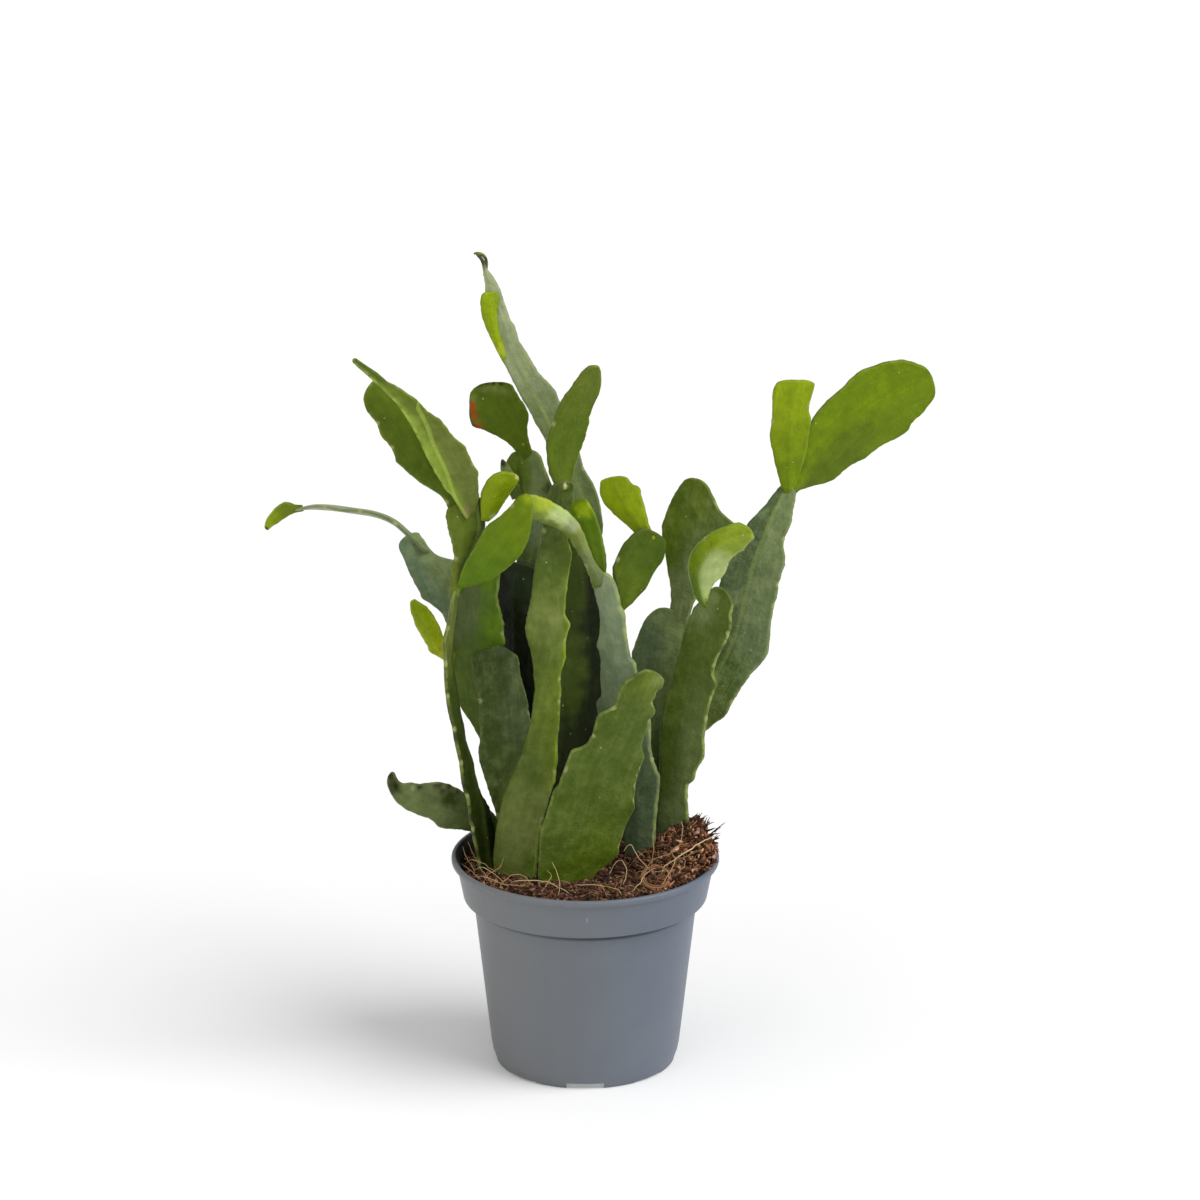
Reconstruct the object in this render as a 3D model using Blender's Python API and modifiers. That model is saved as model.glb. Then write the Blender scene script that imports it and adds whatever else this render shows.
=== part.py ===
"""A rhipsalis in a round nursery pot: flat, scalloped cactus shoots that stand in coir potting mix.

Blender metres, +Z up, the floor at z = 0. The plant is laid out in millimetres from the pot's axis.
"""
import math
import random

import bmesh
import bpy
from mathutils import Vector
from mathutils.geometry import interpolate_bezier

MM = 0.001
POT_AXIS = Vector((-0.0058, -0.0056, 0.0))

POT_HEIGHT = 97.0
LIP_RADIUS = 60.0
LIP_DEPTH = 3.2
COLLAR_TOP_RADIUS = 57.4
COLLAR_FOOT_RADIUS = 54.6
STEP_HEIGHT = 77.4
BODY_TOP_RADIUS = 50.2
BASE_RADIUS = 41.6
WALL = 1.3
FLOOR_UNDER = 2.3
FLOOR_TOP = 4.4
POT_SIDES = 48

NOTCHES = 8
NOTCH_WIDTH = 18.0
NOTCH_HEIGHTS = (2.7, 0.9)
RING_INNER_RADIUS = 33.0
DRAIN_RADIUS = 3.5
DRAIN_CIRCLE = 26.0

SOIL_GAP = 0.45
SOIL_LEVEL = 89.0
SOIL_STEPS = 40
MOUND = (49.0, 8.0)

HOLE_GAP = 0.45
HOLE_TOP = 122.0
AREOLE_PITCH = 17.0
SCALLOP = 1.6
OLD_THICKNESS = 4.2
OLD_EDGE = 1.8
YOUNG_THICKNESS = 3.0
YOUNG_EDGE = 1.4


for leftover in list(bpy.data.objects):
    bpy.data.objects.remove(leftover)

cutters = bpy.data.collections.new("cutters")
bpy.context.scene.collection.children.link(cutters)
cutters.hide_render = True


def plain_material(name, colour, roughness):
    """A Principled material of one colour, given as linear red, green and blue."""
    material = bpy.data.materials.new(name)
    material.use_nodes = True
    shader = material.node_tree.nodes["Principled BSDF"]
    shader.inputs["Base Color"].default_value = (*colour, 1.0)
    shader.inputs["Roughness"].default_value = roughness
    material.diffuse_color = (*colour, 1.0)
    return material


def solid(name, mesh, material=None, collection=None):
    """The mesh as an object that stands on the pot's axis."""
    made = bpy.data.objects.new(name, mesh)
    (collection or bpy.context.scene.collection).objects.link(made)
    made.location = POT_AXIS
    if material:
        mesh.materials.append(material)
    return made


def cutter(name, mesh):
    """The mesh as a wire shape that only cuts others."""
    made = solid(name, mesh, collection=cutters)
    made.hide_render = True
    made.display_type = "WIRE"
    return made


def applied(thing):
    """The object with its modifiers made real."""
    bpy.context.view_layer.update()
    graph = bpy.context.evaluated_depsgraph_get()
    mesh = bpy.data.meshes.new_from_object(thing.evaluated_get(graph))
    thing.modifiers.clear()
    thing.data = mesh
    return thing


def combine(thing, others, operation, solver="EXACT"):
    """One Boolean of the object with a whole collection, made real. The collection's objects are removed."""
    boolean = thing.modifiers.new(operation.lower(), "BOOLEAN")
    boolean.operation = operation
    boolean.solver = solver
    boolean.operand_type = "COLLECTION"
    boolean.collection = others
    applied(thing)
    for other in list(others.objects):
        bpy.data.objects.remove(other)
    return thing


def turned(name, profile, steps, material):
    """A profile of (radius, height) in millimetres turned about the pot's axis."""
    mesh = bpy.data.meshes.new(name)
    points = [(radius * MM, 0.0, height * MM) for radius, height in profile]
    mesh.from_pydata(points, [(i, i + 1) for i in range(len(points) - 1)], [])
    made = solid(name, mesh, material)
    screw = made.modifiers.new("turn", "SCREW")
    screw.steps = screw.render_steps = steps
    screw.use_merge_vertices = True
    screw.merge_threshold = 0.00001
    screw.use_normal_calculate = True
    return applied(made)


# Pot: one moulding of thin grey plastic, open at the top, with a lip, a collar that steps in to the body,
# and a ring under the floor that deep and shallow notches split into feet.

grey_plastic = plain_material("grey_plastic", (0.145, 0.183, 0.220), 0.42)

pot = turned(
    "pot",
    [
        (0.0, FLOOR_TOP),
        (BASE_RADIUS - WALL - 1.0, FLOOR_TOP),
        (BASE_RADIUS - WALL + 0.3, FLOOR_TOP + 1.3),
        (BODY_TOP_RADIUS - WALL, STEP_HEIGHT + 1.1),
        (COLLAR_FOOT_RADIUS - WALL, STEP_HEIGHT + 1.9),
        (COLLAR_TOP_RADIUS - WALL, POT_HEIGHT - LIP_DEPTH),
        (LIP_RADIUS - 2.2, POT_HEIGHT - 0.4),
        (LIP_RADIUS - 1.5, POT_HEIGHT),
        (LIP_RADIUS - 0.5, POT_HEIGHT - 0.3),
        (LIP_RADIUS, POT_HEIGHT - 1.0),
        (LIP_RADIUS - 0.1, POT_HEIGHT - LIP_DEPTH + 0.6),
        (LIP_RADIUS - 0.9, POT_HEIGHT - LIP_DEPTH),
        (COLLAR_TOP_RADIUS + 0.2, POT_HEIGHT - LIP_DEPTH - 0.5),
        (COLLAR_FOOT_RADIUS, STEP_HEIGHT + 0.6),
        (COLLAR_FOOT_RADIUS - 0.6, STEP_HEIGHT),
        (BODY_TOP_RADIUS, STEP_HEIGHT),
        (BASE_RADIUS + 0.9, 9.0),
        (BASE_RADIUS + 0.2, 5.0),
        (BASE_RADIUS - 0.4, 3.5),
        (BASE_RADIUS - 1.1, 0.6),
        (BASE_RADIUS - 1.7, 0.0),
        (RING_INNER_RADIUS, 0.0),
        (RING_INNER_RADIUS, FLOOR_UNDER),
        (0.0, FLOOR_UNDER),
    ],
    POT_SIDES,
    grey_plastic,
)

for number in range(NOTCHES):
    angle = math.radians(360.0 / NOTCHES * number - 90.0)
    outward = Vector((math.cos(angle), math.sin(angle), 0.0))

    bar = bmesh.new()
    bmesh.ops.create_cube(bar, size=1.0)
    for vert in bar.verts:
        along = vert.co.x * 13.0 + (RING_INNER_RADIUS + BASE_RADIUS) / 2.0
        across = vert.co.y * NOTCH_WIDTH
        up = vert.co.z * 5.0 + NOTCH_HEIGHTS[number % 2] - 2.5
        vert.co = (outward * along + Vector((-outward.y, outward.x, 0.0)) * across) * MM
        vert.co.z = up * MM
    notch_mesh = bpy.data.meshes.new("notch")
    bar.to_mesh(notch_mesh)
    cutter(f"notch_{number}", notch_mesh)

    drill = bmesh.new()
    drain = DRAIN_RADIUS * MM
    bmesh.ops.create_cone(drill, cap_ends=True, segments=12, radius1=drain, radius2=drain, depth=8.0 * MM)
    centre = (outward * DRAIN_CIRCLE + Vector((0.0, 0.0, 3.5))) * MM
    bmesh.ops.translate(drill, verts=drill.verts, vec=centre)
    drain_mesh = bpy.data.meshes.new("drain")
    drill.to_mesh(drain_mesh)
    cutter(f"drain_{number}", drain_mesh)

combine(pot, cutters, "DIFFERENCE")


# Potting mix: coir chips that fill the pot to just under the lip at the left, reach it at the front,
# and heap up past it at the right.

coir = plain_material("coir", (0.110, 0.048, 0.025), 0.95)

level = SOIL_LEVEL
potting_mix = turned(
    "potting_mix",
    [(0.0, level)]
    + [(radius, level) for radius in (7.0, 14.0, 21.0, 28.0, 35.0, 42.0, 49.0)]
    + [
        (COLLAR_FOOT_RADIUS - WALL - SOIL_GAP + 1.6, level),
        (COLLAR_FOOT_RADIUS - WALL - SOIL_GAP, STEP_HEIGHT + 2.6),
        (BODY_TOP_RADIUS - WALL - SOIL_GAP, STEP_HEIGHT + 1.8),
        (BASE_RADIUS - WALL - 0.3, FLOOR_TOP + 1.8),
        (BASE_RADIUS - WALL - 1.5, FLOOR_TOP + SOIL_GAP),
        (0.0, FLOOR_TOP + SOIL_GAP),
    ],
    SOIL_STEPS,
    coir,
)

lumps = random.Random(4)
for vert in potting_mix.data.vertices:
    x, y, z = (axis / MM for axis in vert.co)
    if z < level - 1.0:
        continue
    radius = math.hypot(x, y)
    heap = 18.0 * math.exp(-((x - MOUND[0]) ** 2 + (y - MOUND[1]) ** 2) / (2.0 * 15.0**2))
    front = 5.0 / (1.0 + math.exp((y + 26.0) / 6.0))
    vert.co.z += (heap + front + (lumps.uniform(-1.3, 1.3) if radius > 1.0 else 0.0)) * MM


# Shoots: each blade follows a smooth line of points (x, y, z, half width). It has a thicker rib along its
# middle, and scallops that swell towards the tip and step back in at each bud.

def smooth_line(path, steps=12):
    """The path as short even steps: (point, half width) pairs with the length so far."""
    spots = [Vector(spot[:3]) for spot in path]
    spots = [2 * spots[0] - spots[1], *spots, 2 * spots[-1] - spots[-2]]
    halves = [Vector((spot[3], 0.0, 0.0)) for spot in path]
    halves = [2 * halves[0] - halves[1], *halves, 2 * halves[-1] - halves[-2]]

    def through(knots):
        line = []
        for before, start, end, after in zip(knots, knots[1:], knots[2:], knots[3:]):
            leave, arrive = start + (end - before) / 6.0, end - (after - start) / 6.0
            line += interpolate_bezier(start, leave, arrive, end, steps + 1)[:-1]
        return line + [knots[-2]]

    line = through(spots)
    widths = [half.x for half in through(halves)]
    run = [0.0]
    for start, end in zip(line, line[1:]):
        run.append(run[-1] + (end - start).length)
    return line, widths, run


def on_line(values, run, place):
    """The value at this length along the line."""
    for number in range(1, len(run)):
        if run[number] >= place or number == len(run) - 1:
            share = (place - run[number - 1]) / (run[number] - run[number - 1])
            return values[number - 1] + (values[number] - values[number - 1]) * share


def scallop(turn):
    """How far out the edge is within one scallop, from 0 at the bud to 1 at the swell above it."""
    turn %= 1.0
    return 1.0 - (1.0 - turn / 0.76) ** 2 if turn < 0.76 else (1.0 - turn) / 0.24


def eased(value):
    value = min(max(value, 0.0), 1.0)
    return value * value * (3.0 - 2.0 * value)


def blade(name, path, right=(1, 0, 0), right_end=None, fold=0.0, tip=14.0, blunt=2.0, teeth=SCALLOP,
          young=False, grow=0.0, collection=None):
    """One blade as an object. right is where its right edge points, at the foot and at the end. A blade
    that is grown a little is the cutter of its hole, and stops above the potting mix."""
    line, widths, run = smooth_line(path)
    length = run[-1]
    bulge, rim = (YOUNG_THICKNESS, YOUNG_EDGE) if young else (OLD_THICKNESS, OLD_EDGE)
    scallops = max(2, round(length / AREOLE_PITCH))
    pitch = length / scallops
    stations = [pitch * number / 4.0 for number in range(4 * scallops)] + [length - 1.2, length]
    if grow:
        stations = [place for place in stations if on_line(line, run, place).z < HOLE_TOP]
    right, right_end = Vector(right), Vector(right_end or right)

    sheet = bmesh.new()
    bmesh.ops.create_grid(sheet, x_segments=2, y_segments=len(stations) - 1, size=1.0)
    mesh = bpy.data.meshes.new(name)
    sheet.to_mesh(mesh)
    made = solid(name, mesh, collection=collection)
    weights = made.vertex_groups.new(name="thickness")

    for vert in mesh.vertices:
        side = round(vert.co.x)
        place = stations[round((vert.co.y + 1.0) / 2.0 * (len(stations) - 1))]
        ahead, behind = min(place + 1.0, length), max(place - 1.0, 0.0)
        along = (on_line(line, run, ahead) - on_line(line, run, behind)).normalized()
        across = right.lerp(right_end, place / length)
        across = (across - along * across.dot(along)).normalized()
        face = across.cross(along)

        left = length - place
        taper = (1.0 - max(0.0, 1.0 - left / tip) ** blunt) ** (1.0 / blunt)
        half = on_line(widths, run, place) * max(taper, 0.22)
        depth = min(teeth, 0.3 * half) * eased(place / 12.0) * eased(left / 12.0)
        half -= side * side * depth * (1.0 - scallop(place / pitch + (0.5 if side > 0 else 0.0)))
        half = max(half, 1.5) + grow
        spot = on_line(line, run, place) + across * side * half + face * fold * abs(side) * half
        if grow and place == 0.0:
            spot = spot - along * 0.6
        vert.co = spot * MM
        rib = rim + (bulge - rim) * eased(left / tip) * eased(0.6 + place / 20.0)
        weights.add([vert.index], ((rim if side else rib) + 2.0 * grow) / 8.0, "REPLACE")

    split = made.modifiers.new("split", "TRIANGULATE")
    split.quad_method = "BEAUTY"
    thicken = made.modifiers.new("thicken", "SOLIDIFY")
    thicken.thickness = 8.0 * MM
    thicken.offset = 0.0
    thicken.vertex_group = "thickness"
    return applied(made)


dark_green = plain_material("dark_green", (0.060, 0.120, 0.040), 0.45)
blue_green = plain_material("blue_green", (0.100, 0.165, 0.095), 0.50)
fresh_green = plain_material("fresh_green", (0.130, 0.230, 0.030), 0.40)

SHOOTS = {
    # A blade seen nearly edge-on, with a short wide segment on it that carries four leaves.
    "shoot_left": (dark_green, [
        dict(path=[(-43, -1, 81, 8), (-44, -1, 92, 9), (-51, -4, 134, 9), (-57.5, -8, 173, 8),
                   (-59, -11, 199, 10), (-56, -14, 227, 7)], right=(0.4, 0.9, 0),
             right_end=(0.1, 0.95, 0), tip=10, teeth=1),
        dict(path=[(-57, -14, 223, 3), (-54, -15, 240, 6), (-50, -17, 256, 10), (-52, -20, 269, 9)],
             right=(0.9, 0.4, 0), teeth=1),
        dict(path=[(-55, -19, 263, 3), (-64, -24, 283, 10), (-73.5, -29, 302, 13.5), (-86, -34, 320, 11),
                   (-92, -36, 326, 8)], right=(0.82, 0.35, 0.42), tip=10, blunt=2.4, young=True),
        dict(path=[(-51, -19, 262, 3.5), (-57, -27, 276, 13), (-66, -36, 298, 10.5), (-78, -43, 316, 5.5),
                   (-89, -48, 330, 3.5), (-99, -51, 340, 2.5)], right=(0.71, 0.5, 0.48), fold=0.5, tip=10,
             young=True),
        dict(path=[(-57, -14, 224, 3), (-47, -22, 242, 8), (-36, -29, 259, 10), (-24, -35, 276, 6)],
             right=(0.83, 0, -0.55), teeth=0.4, young=True),
        dict(path=[(-44, -18, 259, 3), (-41, -20, 269, 6.5), (-36, -22, 276, 6), (-29, -24, 281, 3)],
             right=(0.8, 0.2, -0.55), teeth=0, young=True),
    ]),
    # A short leaf that leans out over the lip behind it, with a curled tip.
    "shoot_low_left": (dark_green, [
        dict(path=[(-40, 24, 81, 5), (-42, 24, 97, 6), (-52, 21, 108, 9.5), (-65, 19, 113, 9.5),
                   (-78, 20, 117.5, 7), (-85, 21, 123, 5), (-87, 22, 128, 2.5)], right=(1, 0.2, 0),
             right_end=(0.2, 0.1, 1), tip=6, teeth=1),
    ]),
    # A blade whose top was cut off square.
    "shoot_cut_left": (dark_green, [
        dict(path=[(-30, 4, 81, 6), (-30, 4, 92, 8), (-34, 5, 130, 12), (-36, 6, 161, 13),
                   (-40, 7, 193, 11)], right=(0.92, 0.38, 0), tip=7, blunt=3, teeth=1),
    ]),
    # A blade with a grey-green segment at its left, on it a long arching one, and a small bright leaf.
    "shoot_back_left": (dark_green, [
        dict(path=[(-33, 15, 81, 5), (-33, 15, 91, 6), (-35, 15, 122, 7), (-42, 16, 155, 9.5),
                   (-47, 16, 180, 11), (-48, 16, 202, 11), (-44, 15, 224, 10), (-41, 15, 238, 8)],
             right=(0.9, -0.4, 0), teeth=1),
        dict(path=[(-55, 19, 191, 3), (-62, 20, 209, 8.5), (-71.5, 22, 226, 8.5), (-79, 24, 239, 7)],
             right=(0.9, 0.3, 0.4), tip=10, teeth=1),
        dict(path=[(-73, 23, 234, 3), (-87, 34, 243, 4.5), (-106, 45, 244, 5.5), (-121, 53, 243, 4),
                   (-131, 57, 240, 3)], right=(0.1, 0.95, -0.3), teeth=0.6, young=True),
        dict(path=[(-127, 55, 242, 3), (-134, 58, 240, 5), (-141, 60, 234.5, 4), (-144, 61, 230, 2)],
             right=(-0.5, 0.2, 0.85), teeth=0.4, young=True),
        dict(path=[(-55, 19, 180, 3), (-63, 14, 189, 5.5), (-69, 7, 201, 6), (-76, 2, 216, 3)],
             right=(0.85, 0.1, 0.45), teeth=0.6, young=True),
    ]),
    # A long upright blade with a leaf at the top.
    "shoot_centre": (fresh_green, [
        dict(path=[(-32, -12, 81, 9), (-31, -12, 92, 10), (-25, -12, 113, 11), (-20, -11, 136, 11),
                   (-15, -9, 173, 10), (-11, -7, 210, 9), (-13, -5, 237, 9.5), (-11, -4, 264, 7.5),
                   (-8, -4, 273, 5)], right=(0.82, -0.57, 0), right_end=(0.8, 0.6, 0), tip=10, teeth=0.9),
        dict(path=[(-10, -4, 268, 3), (-9, -5, 288, 9), (-5.5, -7, 303, 10), (1, -8, 316, 8),
                   (4.5, -10, 327, 5)], right=(0.8, 0.55, -0.2), teeth=1, young=True),
    ]),
    # A dark blade, a stalk on it, and a cupped leaf.
    "shoot_back_centre": (dark_green, [
        dict(path=[(-25, 23, 81, 5), (-26, 23, 91, 7), (-28, 25, 134, 11), (-29, 27, 185, 13),
                   (-28, 30, 224, 12)], right=(0.82, -0.57, 0), tip=8, teeth=1),
        dict(path=[(-28, 30, 213, 4), (-25, 34, 231, 7), (-24, 39, 253, 11), (-25, 43, 273, 8)],
             right=(0.9, -0.4, 0), tip=10),
        dict(path=[(-25, 43, 268, 3), (-33, 45, 283, 9), (-38, 48, 292, 12.5), (-39, 51, 300, 12)],
             right=(1, 0, 0.2), fold=0.3, tip=8, blunt=3, teeth=1),
        dict(path=[(-30, 40, 252, 3), (-34, 39, 261, 3), (-37, 38, 270, 1.5)], right=(0.9, 0, 0.3),
             teeth=0, tip=6),
    ]),
    # A dark blade, the tallest segment on it with a dried tip, and a narrow flap along its left edge.
    "shoot_tall_back": (dark_green, [
        dict(path=[(-5, 16, 81, 7), (-4, 16, 93, 8), (-2, 18, 135, 10), (0, 22, 172, 12),
                   (-1, 26, 208, 10.5), (0, 30, 238, 8)], right=(0.82, 0.57, 0), teeth=1),
        dict(path=[(0, 30, 231, 4), (-2.5, 31, 251, 6.5), (-9.5, 32, 272, 6.5), (-21.5, 35, 299, 6.8),
                   (-32, 39, 319, 5.5), (-37.5, 43, 337, 4), (-43.5, 47, 352, 2), (-45.5, 49, 358, 1.8),
                   (-48, 50, 361, 1.6)], right=(0.9, 0, 0.45), fold=0.3, tip=4, teeth=1.2),
        dict(path=[(-27, 36, 306, 3), (-36.5, 38, 321, 4), (-42, 40, 334, 4.5), (-43.5, 42, 344, 4)],
             right=(0.9, 0.3, 0.3), teeth=0, tip=6, young=True),
    ]),
    # A blue-grey blade. An arched leaf and a small one stand on its top, and a chain of two at its right.
    "shoot_right_centre": (blue_green, [
        dict(path=[(25, 8, 81, 7), (25, 8, 92, 9), (26, 8, 120, 11), (21, 6, 151, 12), (15, 3, 185, 10),
                   (11, 0, 212, 8), (7, -2, 230, 5)], right=(0.82, -0.57, 0)),
        dict(path=[(7, -1, 224, 3.5), (3, -8, 241, 6), (-3, -16, 258, 7), (-13, -24, 268, 7),
                   (-25, -31, 276, 3)], right=(0.9, 0, 0.4), right_end=(0.35, 0.2, 0.9), teeth=0.4,
             young=True),
        dict(path=[(7, 0, 224, 3), (4, 3, 240, 5.5), (1, 5, 252, 5.5), (-3, 7, 261, 3)],
             right=(0.9, 0, 0.45), teeth=0.4, young=True),
        dict(path=[(13, 1, 209, 3), (18, 3, 221, 8), (24, 6, 235, 10), (30, 8, 246, 9)],
             right=(0.8, 0.4, -0.36), tip=8, teeth=1),
        dict(path=[(29, 8, 241, 3), (22.5, 12, 251.5, 7), (16, 15, 259.5, 9), (9, 18, 267, 8)],
             right=(0.72, -0.4, 0.54), tip=6, blunt=3, teeth=1, young=True),
    ]),
    # The broad blade at the front.
    "shoot_front": (fresh_green, [
        dict(path=[(-10, -22, 81, 9), (-9, -22, 92, 11), (-3, -23, 107, 18), (3, -25, 129, 20),
                   (7, -28, 147, 19), (14, -30, 162, 15.5), (21, -33, 179, 12), (28, -35, 196, 9)],
             right=(0.87, 0.38, -0.28), tip=10, teeth=2),
    ]),
    # A slightly folded blade at the right, with a folded leaf at its left shoulder.
    "shoot_right": (blue_green, [
        dict(path=[(37, 14, 81, 6), (37, 13, 94, 7), (39, 12, 118, 9), (43, 10, 150, 13),
                   (48, 9, 176, 13), (54, 7, 203, 11), (61, 6, 220, 7)], right=(0.85, -0.5, -0.18),
             fold=0.2, tip=10, teeth=1.8),
        dict(path=[(55, 7, 206, 3), (51, 4, 226, 7), (56, 0, 239, 8.5), (65, -5, 245, 8.5),
                   (74, -8, 249, 5)], right=(0.95, -0.2, -0.1), right_end=(0.3, -0.1, -0.95), fold=-0.35,
             teeth=0.6, young=True),
    ]),
    # The long blade that leans out to the right, with a bright cut leaf and the largest leaf.
    "shoot_far_right": (blue_green, [
        dict(path=[(37, 26, 81, 4), (38, 27, 110, 4), (43, 28, 139, 5), (50, 29, 153, 10),
                   (59, 31, 168, 13), (69.5, 34, 188, 14), (76.5, 40, 218, 13), (84.5, 46, 241, 9),
                   (91, 50, 254, 5)], right=(0.82, -0.3, -0.38), fold=0.2),
        dict(path=[(91, 49, 250, 3), (92, 48, 269, 8), (92, 46, 286, 9.5), (94, 44, 305, 9)],
             right=(1, 0.2, 0), tip=5, blunt=3, teeth=1, young=True),
        dict(path=[(92, 50, 250, 3), (106, 56, 266, 13), (122, 61, 280.5, 18), (139.5, 65, 292, 18.5),
                   (156, 68, 298, 13)], right=(0.6, 0.3, -0.7), tip=16, teeth=1.4),
    ]),
    # A blade behind the right one, with a pointed segment on it.
    "shoot_back_right": (dark_green, [
        dict(path=[(22, 35, 81, 5), (24, 35, 94, 7), (29, 36, 125, 10), (32, 38, 158, 13),
                   (34, 40, 182, 14), (37, 42, 199, 11)], right=(0.9, -0.32, 0), tip=12),
        dict(path=[(39.5, 41, 192, 3.5), (42, 43, 212, 7), (44.5, 46, 228, 11), (47, 49, 239, 14.5),
                   (49, 52, 257, 8)], right=(0.87, -0.4, 0)),
    ]),
}

grown_on = bpy.data.collections.new("grown_on")
bpy.context.scene.collection.children.link(grown_on)

for name, (green, blades) in SHOOTS.items():
    rooted, *branches = blades
    shoot = blade(name, **rooted)
    for number, branch in enumerate(branches):
        blade(f"{name}_branch_{number}", **branch, collection=grown_on)
    if branches:
        combine(shoot, grown_on, "UNION")
    shoot.data.materials.clear()
    shoot.data.materials.append(green)
    hole = blade(f"{name}_hole", **rooted, grow=HOLE_GAP, collection=cutters)
    hole.hide_render = True
    hole.display_type = "WIRE"

combine(potting_mix, cutters, "DIFFERENCE")
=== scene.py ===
"""Looks of the potted rhipsalis: a plastic nursery pot, coir potting mix and flat scalloped cactus shoots.

Lengths are in millimetres from the pot's axis until they go into a mesh, and the floor is at zero.
"""
import math
import random

import bmesh
import bpy
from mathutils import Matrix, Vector, noise
from mathutils.geometry import interpolate_bezier


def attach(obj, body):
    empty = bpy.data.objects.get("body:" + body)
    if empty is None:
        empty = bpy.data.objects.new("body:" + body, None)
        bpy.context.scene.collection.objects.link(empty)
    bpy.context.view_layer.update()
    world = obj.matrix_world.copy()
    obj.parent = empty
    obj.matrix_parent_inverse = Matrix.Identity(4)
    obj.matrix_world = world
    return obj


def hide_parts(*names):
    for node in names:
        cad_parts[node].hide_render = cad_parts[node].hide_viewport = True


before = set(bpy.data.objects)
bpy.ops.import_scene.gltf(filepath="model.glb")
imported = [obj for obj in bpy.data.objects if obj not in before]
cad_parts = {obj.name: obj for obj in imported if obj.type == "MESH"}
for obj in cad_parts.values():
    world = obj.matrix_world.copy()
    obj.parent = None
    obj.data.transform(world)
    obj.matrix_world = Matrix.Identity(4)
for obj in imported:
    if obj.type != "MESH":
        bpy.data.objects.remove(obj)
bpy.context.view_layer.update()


# Floor, light and camera: a white table under a wide soft lamp that stands to the right and a little in
# front, with white walls all round, seen from a little above with a long lens.

MM = 0.001
POT_AXIS = Vector((-5.8, -5.6, 0.0))


def place(spot):
    """A spot in millimetres from the pot's axis, as metres in the part's own frame."""
    return (Vector(spot) + POT_AXIS) * MM


class Link:
    """An output of a material's nodes. Arithmetic on it adds Math nodes to the same material."""

    def __init__(self, tree, socket=None):
        self.tree, self.socket = tree, socket

    def node(self, kind, settings=(), inputs=(), output=0):
        """A new node: its settings first, then the values or links of its sockets. Gives one output."""
        made = self.tree.nodes.new(kind)
        for name, value in dict(settings).items():
            setattr(made, name, value)
        for name, value in dict(inputs).items():
            if isinstance(value, Link):
                self.tree.links.new(value.socket, made.inputs[name])
            else:
                made.inputs[name].default_value = value
        return Link(self.tree, made.outputs[output])

    def math(self, operation, *values):
        return self.node("ShaderNodeMath", {"operation": operation}, enumerate(values))

    def __add__(self, other):
        return self.math("ADD", self, other)

    def __sub__(self, other):
        if isinstance(other, tuple):
            return self.node("ShaderNodeVectorMath", {"operation": "SUBTRACT"}, {0: self, 1: other})
        return self.math("SUBTRACT", self, other)

    def __rsub__(self, other):
        return self.math("SUBTRACT", other, self)

    def __mul__(self, other):
        return self.math("MULTIPLY", self, other)

    __radd__, __rmul__ = __add__, __mul__

    def between(self, low, high):
        """0 below low, 1 above high and smooth from one to the other. low may be the larger."""
        return self.node("ShaderNodeMapRange", {"interpolation_type": "SMOOTHSTEP"},
                         {"Value": self, "From Min": low, "From Max": high})

    def mixed(self, first, second):
        """From the first colour, where this is 0, to the second, where it is 1."""
        return self.node("ShaderNodeMix", {"data_type": "RGBA"}, {0: self, 6: first, 7: second}, 2)

    def dyed(self, colour):
        """This colour multiplied by another."""
        return self.node("ShaderNodeMix", {"data_type": "RGBA", "blend_type": "MULTIPLY"},
                         {0: 1.0, 6: self, 7: (*colour, 1.0)}, 2)

    def stretched(self, scale):
        return self.node("ShaderNodeVectorMath", {"operation": "MULTIPLY"}, {0: self, 1: scale})

    def noise(self, scale, detail=3.0, roughness=0.5):
        values = {"Vector": self, "Scale": scale, "Detail": detail, "Roughness": roughness}
        return self.node("ShaderNodeTexNoise", inputs=values)

    def cells(self, scale):
        """Distance from the middle of the nearest of many scattered cells."""
        return self.node("ShaderNodeTexVoronoi", inputs={"Vector": self, "Scale": scale}, output="Distance")

    def attribute(self, name, output="Vector"):
        return self.node("ShaderNodeAttribute", {"attribute_name": name}, output=output)

    def split(self):
        parts = self.node("ShaderNodeSeparateXYZ", inputs={0: self})
        return [Link(self.tree, socket) for socket in parts.socket.node.outputs]

    def bump(self, strength, distance):
        values = {"Strength": strength, "Distance": distance, "Height": self}
        return self.node("ShaderNodeBump", inputs=values)


def srgb(red, green, blue):
    """A colour as the eye sees it, 0 to 255, as the linear one that a material takes."""
    linear = [value / 3294.6 if value < 10.4 else ((value / 255 + 0.055) / 1.055) ** 2.4
              for value in (red, green, blue)]
    return (*linear, 1.0)


def material(name, **constants):
    """A Principled material with these constant sockets. Gives it, a start for links, and its sockets."""
    made = bpy.data.materials.new(name)
    made.use_nodes = True
    shader = made.node_tree.nodes["Principled BSDF"]
    for socket, value in constants.items():
        shader.inputs[socket.replace("_", " ")].default_value = value
    return made, Link(made.node_tree), shader.inputs


def drive(start, sockets, **links):
    """Leads these links into the shader's sockets."""
    for socket, link in links.items():
        start.tree.links.new(link.socket, sockets[socket.replace("_", " ")])


def added(name, data):
    """A new object in the scene that holds this mesh, lamp or camera."""
    made = bpy.data.objects.new(name, data)
    bpy.context.scene.collection.objects.link(made)
    return made


FLOOR_REACH = 12.0
corners = [(x * FLOOR_REACH, y * FLOOR_REACH, 0) for x, y in ((-1, -1), (1, -1), (1, 1), (-1, 1))]
floor_mesh = bpy.data.meshes.new("floor")
floor_mesh.from_pydata(corners, [], [(0, 1, 2, 3)])
floor_paint, _, _ = material("white_table", Base_Color=srgb(246, 246, 246), Roughness=0.9)
floor_mesh.materials.append(floor_paint)
floor = added("floor", floor_mesh)

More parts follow.
